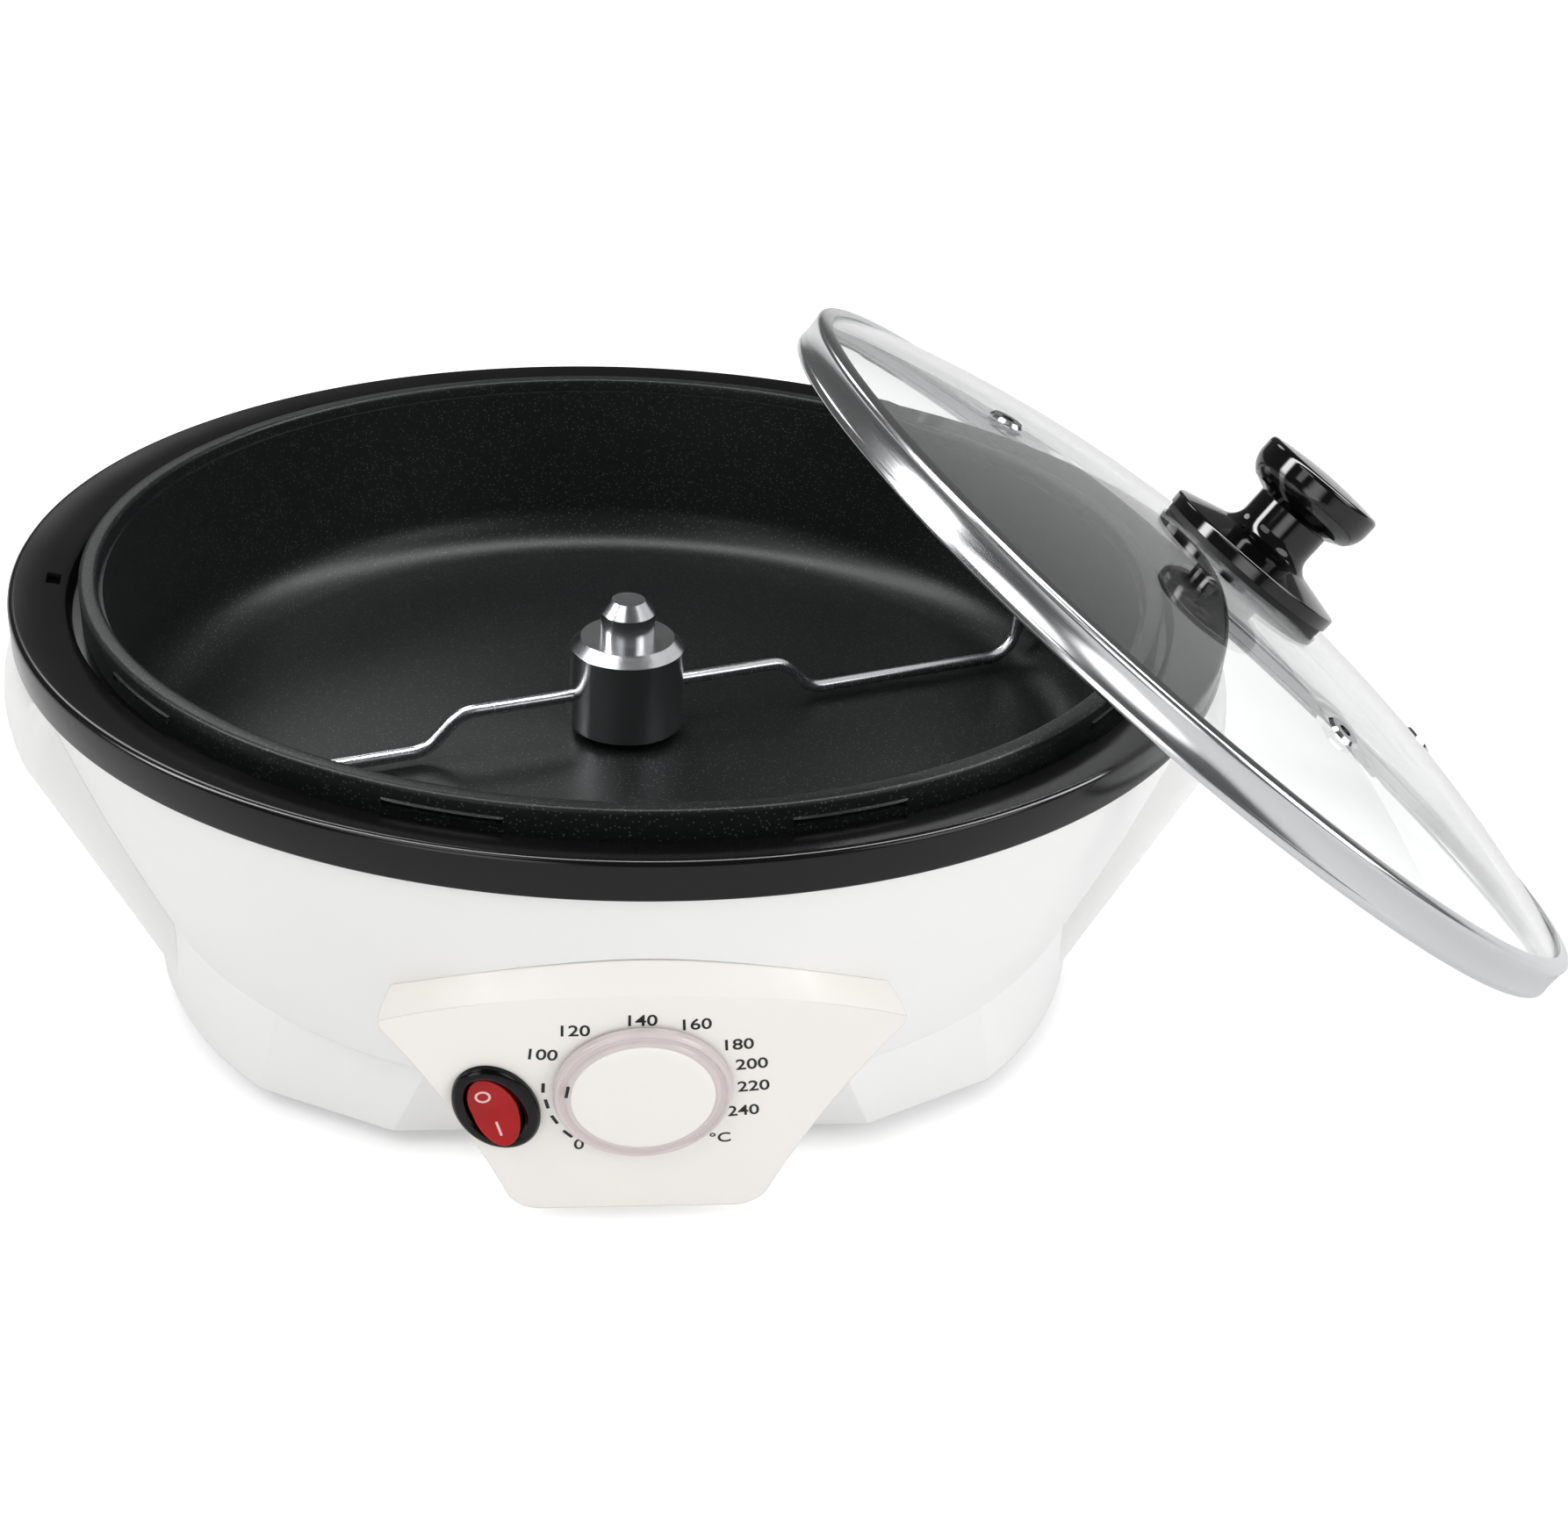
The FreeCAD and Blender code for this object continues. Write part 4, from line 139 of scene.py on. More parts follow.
# The foot of the panel's face, how far the face leans back, and what stands on it, across and up from that
# foot in millimetres.
PANEL_FOOT = Vector((0, -150.0, 6.5)) * MM
PANEL_LEAN = math.radians(9.7)
DIAL = (0.0, 44.2)
SWITCH = (-35.5, 38.8)
ROCKER_TILT = math.radians(11)

# The lid leans on the ring's edge. Its middle is this far out and its rim this large, in millimetres.
LID_TILT, LID_AZIMUTH = math.radians(36), math.radians(4)
LID_REACH = 171.03
LID_RADIUS = 151.0


def panel_place(x, s, n, turn=0.0):
    """From a frame with +Z out of the panel face, at x across, s up and n out in millimetres."""
    lean = Matrix.Rotation(math.pi / 2 + PANEL_LEAN, 4, "X")
    return (Matrix.Translation(PANEL_FOOT) @ lean @ Matrix.Translation(Vector((x, s, n)) * MM)
            @ Matrix.Rotation(turn, 4, "Z"))


def lid_place():
    """From the lid made level, its rim on the XY plane, to the lid that leans on the trim ring."""
    centre = Vector((LID_REACH * MM, 0, LID_RADIUS * MM * math.sin(LID_TILT)))
    return (Matrix.Rotation(LID_AZIMUTH, 4, "Z") @ Matrix.Translation(centre)
            @ Matrix.Rotation(LID_TILT, 4, "Y"))


# ---------------------------------------------------------------- shapes

def turned(outline):
    """A mesh turned about Z from a closed outline of (radius, height) in millimetres."""
    mesh = bmesh.new()
    points = [mesh.verts.new((radius * MM, 0, height * MM)) for radius, height in outline]
    edges = [mesh.edges.new(pair) for pair in zip(points, points[1:] + points[:1])]
    bmesh.ops.spin(mesh, geom=points + edges, cent=(0, 0, 0), axis=(0, 0, 1), angle=2 * math.pi,
                   steps=sizes().turn_steps, use_merge=True)
    bmesh.ops.remove_doubles(mesh, verts=mesh.verts, dist=WELD)
    bmesh.ops.recalc_face_normals(mesh, faces=mesh.faces)
    return mesh


def round_off(mesh, edges, reach, segments):
    """Rounds those edges over a reach in millimetres."""
    bmesh.ops.bevel(mesh, geom=edges, offset=reach * MM, affect="EDGES", segments=segments, profile=0.5,
                    material=-1)


def soften(mesh, corners, segments=4):
    """Rounds turned corners, each given as (radius, height, reach of the rounding) in millimetres."""
    for radius, height, reach in corners:
        ring = [edge for edge in mesh.edges
                if all(abs(math.hypot(v.co.x, v.co.y) - radius * MM) < SAME_PLACE
                       and abs(v.co.z - height * MM) < SAME_PLACE for v in edge.verts)]
        round_off(mesh, ring, reach, segments)


def bar(across, along, high):
    """A square-edged bar of those sizes in millimetres, its middle at the origin."""
    mesh = bmesh.new()
    bmesh.ops.create_cube(mesh, size=MM)
    bmesh.ops.scale(mesh, vec=(across, along, high), verts=mesh.verts)
    return mesh


def printed_bar(across, along, high):
    """A thin bar of ink with its four corners rounded."""
    mesh = bar(across, along, high)
    upright = [edge for edge in mesh.edges if abs(edge.verts[0].co.z - edge.verts[1].co.z) > SAME_PLACE]
    round_off(mesh, upright, 0.2, 3)
    return mesh


def pull_up(mesh, height):
    """Pulls the flat faces of a mesh up into a closed solid of that height in metres."""
    raised = bmesh.ops.extrude_face_region(mesh, geom=mesh.faces[:])
    top = [part for part in raised["geom"] if isinstance(part, bmesh.types.BMVert)]
    bmesh.ops.translate(mesh, vec=(0, 0, height), verts=top)


def add_piece(name, mesh, body, finish, place=None, replaces=(), crease=35.0):
    """Makes the mesh an object that rides on a body, shaded smooth up to the crease angle in degrees."""
    if place is not None:
        bmesh.ops.transform(mesh, matrix=place, verts=mesh.verts)
    limit = math.radians(crease)
    for face in mesh.faces:
        face.smooth = True
    for edge in mesh.edges:
        edge.smooth = len(edge.link_faces) == 2 and edge.calc_face_angle(0.0) < limit
    data = bpy.data.meshes.new(name)
    mesh.to_mesh(data)
    mesh.free()
    data.materials.append(finish)
    piece = bpy.data.objects.new(name, data)
    bpy.context.scene.collection.objects.link(piece)
    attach(piece, body)
    if replaces:
        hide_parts(*replaces)


def finish_nodes(finish, *names):
    """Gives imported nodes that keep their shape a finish."""
    for name in names:
        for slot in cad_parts[name].material_slots:
            slot.material = finish


# ---------------------------------------------------------------- finishes

# How lines lie in a metal: their size along X, Y and Z in millimetres.
DRAWN = (0.3, 0.3, 6.0)
TURNED = (6.0, 6.0, 0.25)
ROLLED = (60.0, 60.0, 0.5)


def add_node(tree, kind, inputs=None, **settings):
    """Adds one node with its settings; inputs holds a socket's name or place and its value or source."""
    made = tree.nodes.new(kind)
    for name, value in settings.items():
        setattr(made, name, value)
    for name, value in (inputs or {}).items():
        if isinstance(value, bpy.types.NodeSocket):
            tree.links.new(value, made.inputs[name])
        else:
            made.inputs[name].default_value = value
    return made


def new_finish(name, **sockets):
    """A material and its Principled shader with those sockets set."""
    finish = bpy.data.materials.new(name)
    finish.use_nodes = True
    shader = finish.node_tree.nodes["Principled BSDF"]
    for socket, value in sockets.items():
        shader.inputs[socket.replace("_", " ")].default_value = value
    return finish, finish.node_tree, shader


def opaque(colour, share=1.0):
    return (*(channel * share for channel in colour[:3]), 1.0)


def colour_by(tree, shader, share, none, full):
    """Lays the surface's colour between two by a share from 0 to 1."""
    tone = add_node(tree, "ShaderNodeMix", {"Factor": share, 6: none, 7: full}, data_type="RGBA")
    tree.links.new(tone.outputs[2], shader.inputs["Base Color"])


def gloss_and_relief(tree, shader, gloss, rough, relief, depth, span=(0.0, 1.0), edge=0.0):
    """Roughness from the span of one pattern, and a relief of that depth in millimetres from another."""
    level = add_node(tree, "ShaderNodeMapRange", {
        "Value": gloss.outputs["Fac"], "From Min": span[0], "From Max": span[1],
        "To Min": rough[0], "To Max": rough[1]})
    tree.links.new(level.outputs["Result"], shader.inputs["Roughness"])
    bumps = add_node(tree, "ShaderNodeBump", {
        "Height": relief.outputs["Fac"], "Strength": 1.0, "Distance": depth * MM})
    if edge:
        rounded = add_node(tree, "ShaderNodeBevel", {"Radius": edge * MM}, samples=6)
        tree.links.new(rounded.outputs["Normal"], bumps.inputs["Normal"])
    tree.links.new(bumps.outputs["Normal"], shader.inputs["Normal"])


def patterned(name, colour, patch, darkest, grain, depth, rough, edge=0.0, **sockets):
    """A finish with soft patches of colour and gloss, a fine relief and softened edges.

    The patch, the grain, its depth and the edge's rounding are real sizes in millimetres, darkest is the
    share of the colour that the darkest patch keeps, and rough holds the least and the most roughness.
    """
    finish, tree, shader = new_finish(name, **sockets)
    place = add_node(tree, "ShaderNodeTexCoord").outputs["Object"]
    patches = add_node(tree, "ShaderNodeTexNoise", {
        "Vector": place, "Scale": 1 / (patch * MM), "Detail": 3.0})
    colour_by(tree, shader, patches.outputs["Fac"], opaque(colour, darkest), opaque(colour))
    grains = add_node(tree, "ShaderNodeTexNoise", {
        "Vector": place, "Scale": 1 / (grain * MM), "Detail": 2.0})
    gloss_and_relief(tree, shader, patches, rough, grains, depth, span=(0.1, 0.9), edge=edge)
    return finish


def moulded_abs(name, colour):
    """Glossy injection-moulded ABS: soft broad reflections, edges rounded as the mould leaves them."""
    return patterned(name, colour, patch=1.5, darkest=0.997, grain=12.0, depth=0.003, rough=(0.32, 0.36),
                     edge=0.7, IOR=1.53, Specular_IOR_Level=0.22)


def moulded_polypropylene(name, colour):
    """Satin black polypropylene: deep black with a thin bright line where its edge turns over."""
    return patterned(name, colour, patch=40, darkest=0.8, grain=0.8, depth=0.006, rough=(0.14, 0.20),
                     IOR=1.49, Specular_IOR_Level=0.32)


def printing_ink():
    """Pad-printed ink: dense near-black with a soft sheen, made once and shared."""
    known = bpy.data.materials.get("pad_printed_black_ink")
    return known or patterned("pad_printed_black_ink", colours().ink, patch=8, darkest=0.85, grain=0.6,
                              depth=0.004, rough=(0.38, 0.5), IOR=1.45)


def non_stick_coating(name, colour):
    """Sprayed fluoropolymer on cast aluminium: matt black with pale flecks under a millimetre wide."""
    finish, tree, shader = new_finish(name, IOR=1.38, Specular_IOR_Level=0.3)
    place = add_node(tree, "ShaderNodeTexCoord").outputs["Object"]
    flecks = add_node(tree, "ShaderNodeTexVoronoi", {"Vector": place, "Scale": 1 / (1.1 * MM)})
    pale = add_node(tree, "ShaderNodeMapRange", {
        "Value": flecks.outputs["Distance"], "From Min": 0.16, "From Max": 0.24,
        "To Min": 1.0, "To Max": 0.0})
    colour_by(tree, shader, pale.outputs["Result"], opaque(colour), opaque(colour, 8.0))
    spray = add_node(tree, "ShaderNodeTexNoise", {
        "Vector": place, "Scale": 1 / (0.9 * MM), "Detail": 4.0})
    gloss_and_relief(tree, shader, spray, (0.30, 0.46), spray, 0.03)
    return finish


def steel(name, colour, rough, grain=DRAWN, grain_place=None):
    """Plain metal whose lines are long one way and short the other, laid in the frame of grain_place."""
    finish, tree, shader = new_finish(name, Metallic=1.0, Base_Color=opaque(colour))
    place = add_node(tree, "ShaderNodeTexCoord").outputs["Object"]
    if grain_place is not None:
        back = grain_place.inverted()
        place = add_node(tree, "ShaderNodeMapping", {
            "Vector": place, "Location": back.translation, "Rotation": back.to_euler()}).outputs["Vector"]
    lay = add_node(tree, "ShaderNodeMapping", {
        "Vector": place, "Scale": [1 / (size * MM) for size in grain]})
    lines = add_node(tree, "ShaderNodeTexNoise", {
        "Vector": lay.outputs["Vector"], "Scale": 1.0, "Detail": 3.0})
    gloss_and_relief(tree, shader, lines, rough, lines, 0.003)
    return finish


def translucent_red(name, colour):
    """Moulded red polycarbonate: glossy, deeper red where the cloudy patches are thick."""
    finish, tree, shader = new_finish(name, Roughness=0.14, IOR=1.58, Specular_IOR_Level=0.25)
    place = add_node(tree, "ShaderNodeTexCoord").outputs["Object"]
    cloud = add_node(tree, "ShaderNodeTexNoise", {"Vector": place, "Scale": 1 / (7 * MM), "Detail": 2.0})
    colour_by(tree, shader, cloud.outputs["Fac"], opaque(colour, 0.6), opaque(colour))
    return finish


def tempered_glass(name):
    """Clear tempered glass: sharp reflections, a faint cool grey body, and light that passes in shadow."""
    finish, tree, shader = new_finish(name, Transmission_Weight=1.0, Roughness=0.0, IOR=1.5,
                                      Specular_IOR_Level=0.25, Base_Color=opaque(linear("F9FAFA")))
    light = add_node(tree, "ShaderNodeLightPath")
    clear = add_node(tree, "ShaderNodeBsdfTransparent", {"Color": opaque(linear("F3F4F4"))})
    mixed = add_node(tree, "ShaderNodeMixShader", {
        0: light.outputs["Is Shadow Ray"], 1: shader.outputs["BSDF"], 2: clear.outputs["BSDF"]})
    tree.links.new(mixed.outputs["Shader"], tree.nodes["Material Output"].inputs["Surface"])
    return finish


# ---------------------------------------------------------------- operators

class ROASTER_OT_stage(bpy.types.Operator):
    """Sets the camera, the pale floor and the soft room light"""
    bl_idname = "roaster.stage"
    bl_label = "Stage"

    EYE = (-0.0226, -0.5696, 0.3686)
    PITCH, ROLL, SWING = math.radians(28.7137), math.radians(-3.6993), math.radians(7.2)
    SENSOR, LENS = 36.0, 48.38
    NEAR, FAR = 0.01, 30.0

    TABLE_SIZE, TABLE_DROP, TABLE_GLOW = 12.0, 0.0005, 0.42

    # The strip light lies along X. Its middle, core and fading edge are shares of the way to the side, and
    # it fades in from the walls to the ceiling.
    STRIP_MIDDLE, STRIP_CORE, STRIP_EDGE = 0.05, 0.06, 0.16
    WALL_TOP, CEILING = 0.2, 0.5
    WINDOW_TURN, WINDOW_LIFT = math.radians(-118), math.radians(8)
    WINDOW_CORE, WINDOW_EDGE = math.radians(7), math.radians(20)

    # Each softbox: its name, its place and its width in metres, and its power in watts.
    AIM = Vector((0, 0, 0.08))
    SOFTBOXES = (("key_softbox", (-0.9, -0.9, 1.5), 1.1, 7.5),
                 ("fill_softbox", (1.4, -1.0, 0.8), 1.0, 8.0),
                 ("back_softbox", (-0.5, 1.3, 1.2), 0.7, 6.0))

    def execute(self, context):
        self.camera(context)
        self.floor(context)
        self.room(context)
        self.lamps(context)
        context.scene.view_settings.view_transform = "Standard"
        return {"FINISHED"}

    def camera(self, context):
        """Stands where the whole roaster is seen from a little above, turned a few degrees."""
        aim = (Matrix.Rotation(self.ROLL, 3, "Z") @ Matrix.Rotation(self.PITCH - math.pi / 2, 3, "X")
               @ Matrix.Rotation(self.SWING, 3, "Z")).transposed()
        data = bpy.data.cameras.new("room_camera")
        data.sensor_fit, data.sensor_width, data.lens = "HORIZONTAL", self.SENSOR, self.LENS
        data.clip_start, data.clip_end = self.NEAR, self.FAR
        camera = bpy.data.objects.new("room_camera", data)
        camera.matrix_world = Matrix.Translation(self.EYE) @ aim.to_4x4()
        context.scene.collection.objects.link(camera)
        context.scene.camera = camera

    def seen(self, tree):
        """A light path, and 1 where the eye meets a surface straight on or through glass."""
        light = add_node(tree, "ShaderNodeLightPath")
        either = add_node(tree, "ShaderNodeMath", {
            0: light.outputs["Is Camera Ray"], 1: light.outputs["Is Transmission Ray"]}, operation="MAXIMUM")
        return light, either.outputs["Value"]

    def floor(self, context):
        """A white table top that fades into the white room and keeps the roaster's soft shadow."""
        mesh = bmesh.new()
        bmesh.ops.create_grid(mesh, x_segments=2, y_segments=2, size=self.TABLE_SIZE)
        data = bpy.data.meshes.new("table_top")
        mesh.to_mesh(data)
        mesh.free()
        table = bpy.data.objects.new("table_top", data)
        table.location.z = -self.TABLE_DROP
        # White laminate: matt, and lifted to white where the eye sees it.
        finish, tree, shader = new_finish("white_laminate", Base_Color=opaque(linear("FAFAFA")),
                                          Roughness=0.9, Specular_IOR_Level=0.1)
        _, seen = self.seen(tree)
        lift = add_node(tree, "ShaderNodeMath", {0: seen, 1: self.TABLE_GLOW}, operation="MULTIPLY")
        shader.inputs["Emission Color"].default_value = (1, 1, 1, 1)
        tree.links.new(lift.outputs["Value"], shader.inputs["Emission Strength"])
        data.materials.append(finish)
        context.scene.collection.objects.link(table)

    def room(self, context):
        """White to the eye, dimmer as a light, and dark in reflections but for a strip and a window."""
        world = bpy.data.worlds.new("white_room")
        world.use_nodes = True
        tree = world.node_tree
        light, seen = self.seen(tree)
        way = add_node(tree, "ShaderNodeTexCoord").outputs["Generated"]
        shine = add_node(tree, "ShaderNodeMath", {
            0: self.strip_light(tree, way), 1: self.low_window(tree, way)}, operation="ADD")
        inside = add_node(tree, "ShaderNodeMix", {
            "Factor": light.outputs["Is Glossy Ray"], "A": sizes().room_light, "B": shine.outputs["Value"]})
        level = add_node(tree, "ShaderNodeMix", {"Factor": seen, "A": inside.outputs["Result"], "B": 1.0})
        tree.links.new(level.outputs["Result"], tree.nodes["Background"].inputs["Strength"])
        tree.nodes["Background"].inputs["Color"].default_value = (1, 1, 1, 1)
        context.scene.world = world

    def strip_light(self, tree, way):
        """The dark walls and, above them, a soft-edged strip of light along the ceiling."""
        along = add_node(tree, "ShaderNodeSeparateXYZ", {0: way})
        aside = add_node(tree, "ShaderNodeMath", {0: along.outputs["Y"], 1: self.STRIP_MIDDLE},
                         operation="SUBTRACT")
        aside = add_node(tree, "ShaderNodeMath", {0: aside.outputs["Value"]}, operation="ABSOLUTE")
        strip = add_node(tree, "ShaderNodeMapRange", {
            "Value": aside.outputs["Value"], "From Min": self.STRIP_EDGE, "From Max": self.STRIP_CORE,
            "To Max": sizes().ceiling_shine}, interpolation_type="SMOOTHSTEP")
        above = add_node(tree, "ShaderNodeMapRange", {
            "Value": along.outputs["Z"], "From Min": self.WALL_TOP, "From Max": self.CEILING},
            interpolation_type="SMOOTHSTEP")
        lit = add_node(tree, "ShaderNodeMath", {
            0: strip.outputs["Result"], 1: above.outputs["Result"], 2: sizes().dark_wall},
            operation="MULTIPLY_ADD")
        return lit.outputs["Value"]

    def low_window(self, tree, way):
        """A round soft-edged window low on the left."""
        towards = (math.cos(self.WINDOW_TURN) * math.cos(self.WINDOW_LIFT),
                   math.sin(self.WINDOW_TURN) * math.cos(self.WINDOW_LIFT), math.sin(self.WINDOW_LIFT))
        near = add_node(tree, "ShaderNodeVectorMath", {0: way, 1: towards}, operation="DOT_PRODUCT")
        window = add_node(tree, "ShaderNodeMapRange", {
            "Value": near.outputs["Value"], "From Min": math.cos(self.WINDOW_EDGE),
            "From Max": math.cos(self.WINDOW_CORE), "To Max": sizes().window_shine},
            interpolation_type="SMOOTHSTEP")
        return window.outputs["Result"]

    def lamps(self, context):
        """Softboxes: one over the left shoulder, one from the right, and one behind for the pan's wall."""
        for name, place, width, power in self.SOFTBOXES:
            data = bpy.data.lights.new(name, "AREA")
            data.shape, data.size, data.energy = "DISK", width, power
            lamp = bpy.data.objects.new(name, data)
            lamp.location = place
            lamp.rotation_euler = (self.AIM - Vector(place)).to_track_quat("-Z", "Y").to_euler()
            context.scene.collection.objects.link(lamp)


class ROASTER_OT_shell(bpy.types.Operator):
    """Finishes the white moulded housing, the black base cover, the feet and the cord entry"""
    bl_idname = "roaster.shell"
    bl_label = "Shell, base and feet"

    def execute(self, context):
        finish_nodes(moulded_abs("moulded_white_abs", colours().shell), "housing")
        finish_nodes(moulded_abs("moulded_warm_white_abs", colours().panel), "control_panel")
        # Nylon from a lightly textured mould: dark grey with broad dim highlights.
        nylon = patterned("moulded_black_nylon", linear("1B1B1C"), patch=30, darkest=0.8, grain=0.7,
                          depth=0.02, rough=(0.42, 0.55), IOR=1.5)
        finish_nodes(nylon, "base_cover", "cord_gland", "gland_nut")
        # Moulded rubber: matt, with hardly a highlight.
        rubber = patterned("moulded_black_rubber", linear("171717"), patch=12, darkest=0.75, grain=0.5,
                           depth=0.03, rough=(0.62, 0.78), IOR=1.45)
        finish_nodes(rubber, "rubber_feet")
        return {"FINISHED"}


class ROASTER_OT_trim_ring(bpy.types.Operator):
    """Turns the black trim ring that slopes down to the pan"""
    bl_idname = "roaster.trim_ring"
    bl_label = "Trim ring"

    # How wide the slope is, and how far below the top its foot, the channel, the skirt and the tongue reach,
    # in millimetres. The hook hole lies in from the edge.
    SLOPE, DROP, CHANNEL, SKIRT, TONGUE = 15.4, 3.9, 7.8, 11, 14.5
    HOLE_MIDDLE, HOLE_HALF, HOLE_REACH, HOLE_TURN = 11.2, 1.9, 4.0, math.radians(186)

    def execute(self, context):
        edge, top = sizes().ring_radius / MM, sizes().ring_top / MM
        foot, low, channel = edge - self.SLOPE, top - self.DROP, top - self.CHANNEL
        skirt, tongue = top - self.SKIRT, top - self.TONGUE
        hole = [(radius, top - (edge - radius) * self.DROP / self.SLOPE)
                for radius in (edge - self.HOLE_MIDDLE + self.HOLE_HALF,
                               edge - self.HOLE_MIDDLE - self.HOLE_HALF)]
        ring = turned([
            (edge, skirt), (edge, top), *hole, (foot, low), (foot - 0.8, channel), (foot - 5.2, channel),
            (foot - 5.2, channel - 2.4), (foot + 0.8, channel - 2.4), (foot + 1.6, top - 6.1),
            (edge - 9.0, top - 4.7), (edge - 9.0, tongue), (edge - 6.8, tongue), (edge - 6.8, skirt)])
        soften(ring, [(edge, top, 2.0), (edge, skirt, 0.8), (foot, low, 1.0)])
        self.hook_hole(ring, edge - self.HOLE_MIDDLE)
        finish = moulded_polypropylene("moulded_black_polypropylene", colours().trim)
        add_piece("trim_collar", ring, "roaster", finish, replaces=["trim_ring"])
        return {"FINISHED"}

    def hook_hole(self, ring, radius):
        """Sinks the small oblong hole on the left of the slope."""
        hole = []
        for face in ring.faces:
            centre = face.calc_center_median()
            turn = math.atan2(centre.y, centre.x) % (2 * math.pi) - self.HOLE_TURN
            if (face.normal.z > 0.9 and abs(centre.xy.length - radius * MM) < 0.3 * MM
                    and abs(turn * radius) < self.HOLE_REACH):
                hole.append(face)
        if not hole:
            raise RuntimeError("the ring's slope has no face for the hook hole")
        bmesh.ops.inset_region(ring, faces=hole, thickness=0.3 * MM, depth=-0.3 * MM)
        bmesh.ops.inset_region(ring, faces=hole, thickness=0.02 * MM, depth=-1.6 * MM)


class ROASTER_OT_pan(bpy.types.Operator):
    """Turns the coated pan with its thick rim, and sinks the row of slots in the rim's side"""
    bl_idname = "roaster.pan"
    bl_label = "Roasting pan"

    # Depths below the rim's top, widths inwards from its side, and radii, in millimetres. The first slot's
    # place and the slots' half length are in degrees.
    DEPTH, WALL_INSET, SHEET, CORNER = 60, 7.5, 2.6, 14.0
    RIM_WIDTH, RIM_FOOT, LEDGE = 5, 9.8, 4
    TUBE, TUBE_BORE, TUBE_HEIGHT = 9.5, 7.0, 18
    SLOTS, FIRST_SLOT, SLOT_REACH, SLOT_FOOT, SLOT_HEAD = 10, 252.0, 5.4, 6.2, 3.8

    def execute(self, context):
        rim, top = sizes().pan_radius / MM, sizes().pan_top / MM
        floor, wall, lip = top - self.DEPTH, rim - self.WALL_INSET, rim - self.RIM_WIDTH
        under, outside, tube_top = floor - self.SHEET, wall + self.SHEET, floor + self.TUBE_HEIGHT
        low, high = top - self.SLOT_FOOT, top - self.SLOT_HEAD
        pan = turned([
            (self.TUBE_BORE, under), (self.TUBE_BORE, tube_top), (self.TUBE, tube_top), (self.TUBE, floor),
            (wall, floor), (rim - 6.1, top - self.LEDGE), (lip, top - self.LEDGE), (lip, top), (rim, top),
            (rim, high), (rim, low), (rim, top - self.RIM_FOOT), (rim - 3.3, top - self.RIM_FOOT),
            (outside, under)])
        soften(pan, [(lip, top, 1.2), (rim, top, 1.2), (self.TUBE, floor, 3.0), (self.TUBE, tube_top, 0.8)])
        soften(pan, [(wall, floor, self.CORNER), (outside, under, self.CORNER + self.SHEET)], segments=10)
        for i in range(self.SLOTS):
            turn = math.radians(self.FIRST_SLOT + 360 / self.SLOTS * i) % (2 * math.pi)
            self.slot(pan, rim, (low + high) / 2, turn)
        finish = non_stick_coating("sprayed_non_stick_coating", colours().pan)
        add_piece("coated_pan", pan, "roaster", finish, replaces=["roasting_pan"])
        return {"FINISHED"}

    def slot(self, pan, rim, height, turn):
        """Sinks one long slot in the rim's side, inside a fine raised lip."""
        chosen = []
        for face in pan.faces:
            centre = face.calc_center_median()
            away = abs(math.atan2(centre.y, centre.x) % (2 * math.pi) - turn)
            away = min(away, 2 * math.pi - away)
            if (abs(centre.xy.length - rim * MM) < 0.2 * MM and abs(centre.z - height * MM) < 0.1 * MM
                    and away < math.radians(self.SLOT_REACH)):
                chosen.append(face)
        bmesh.ops.inset_region(pan, faces=chosen, thickness=0.5 * MM, depth=0.5 * MM)
        bmesh.ops.inset_region(pan, faces=chosen, thickness=0.1 * MM, depth=-2.2 * MM)


class ROASTER_OT_stirrer(bpy.types.Operator):
    """Finishes the driven stirrer"""
    bl_idname = "roaster.stirrer"
    bl_label = "Stirrer"

    def execute(self, context):
        # Turned stainless steel: bright bands that run round the hub.
        turned_steel = steel("turned_stainless_steel", linear("C9CACC"), (0.16, 0.30), TURNED)
        finish_nodes(turned_steel, "stir_hub", "stir_cap_nut", "drive_shaft", "shaft_circlip")
        # Drawn stainless wire: one thin bright line along each rod.
        finish_nodes(steel("drawn_stainless_wire", linear("C4C5C7"), (0.18, 0.32)), "stir_rods")
        return {"FINISHED"}


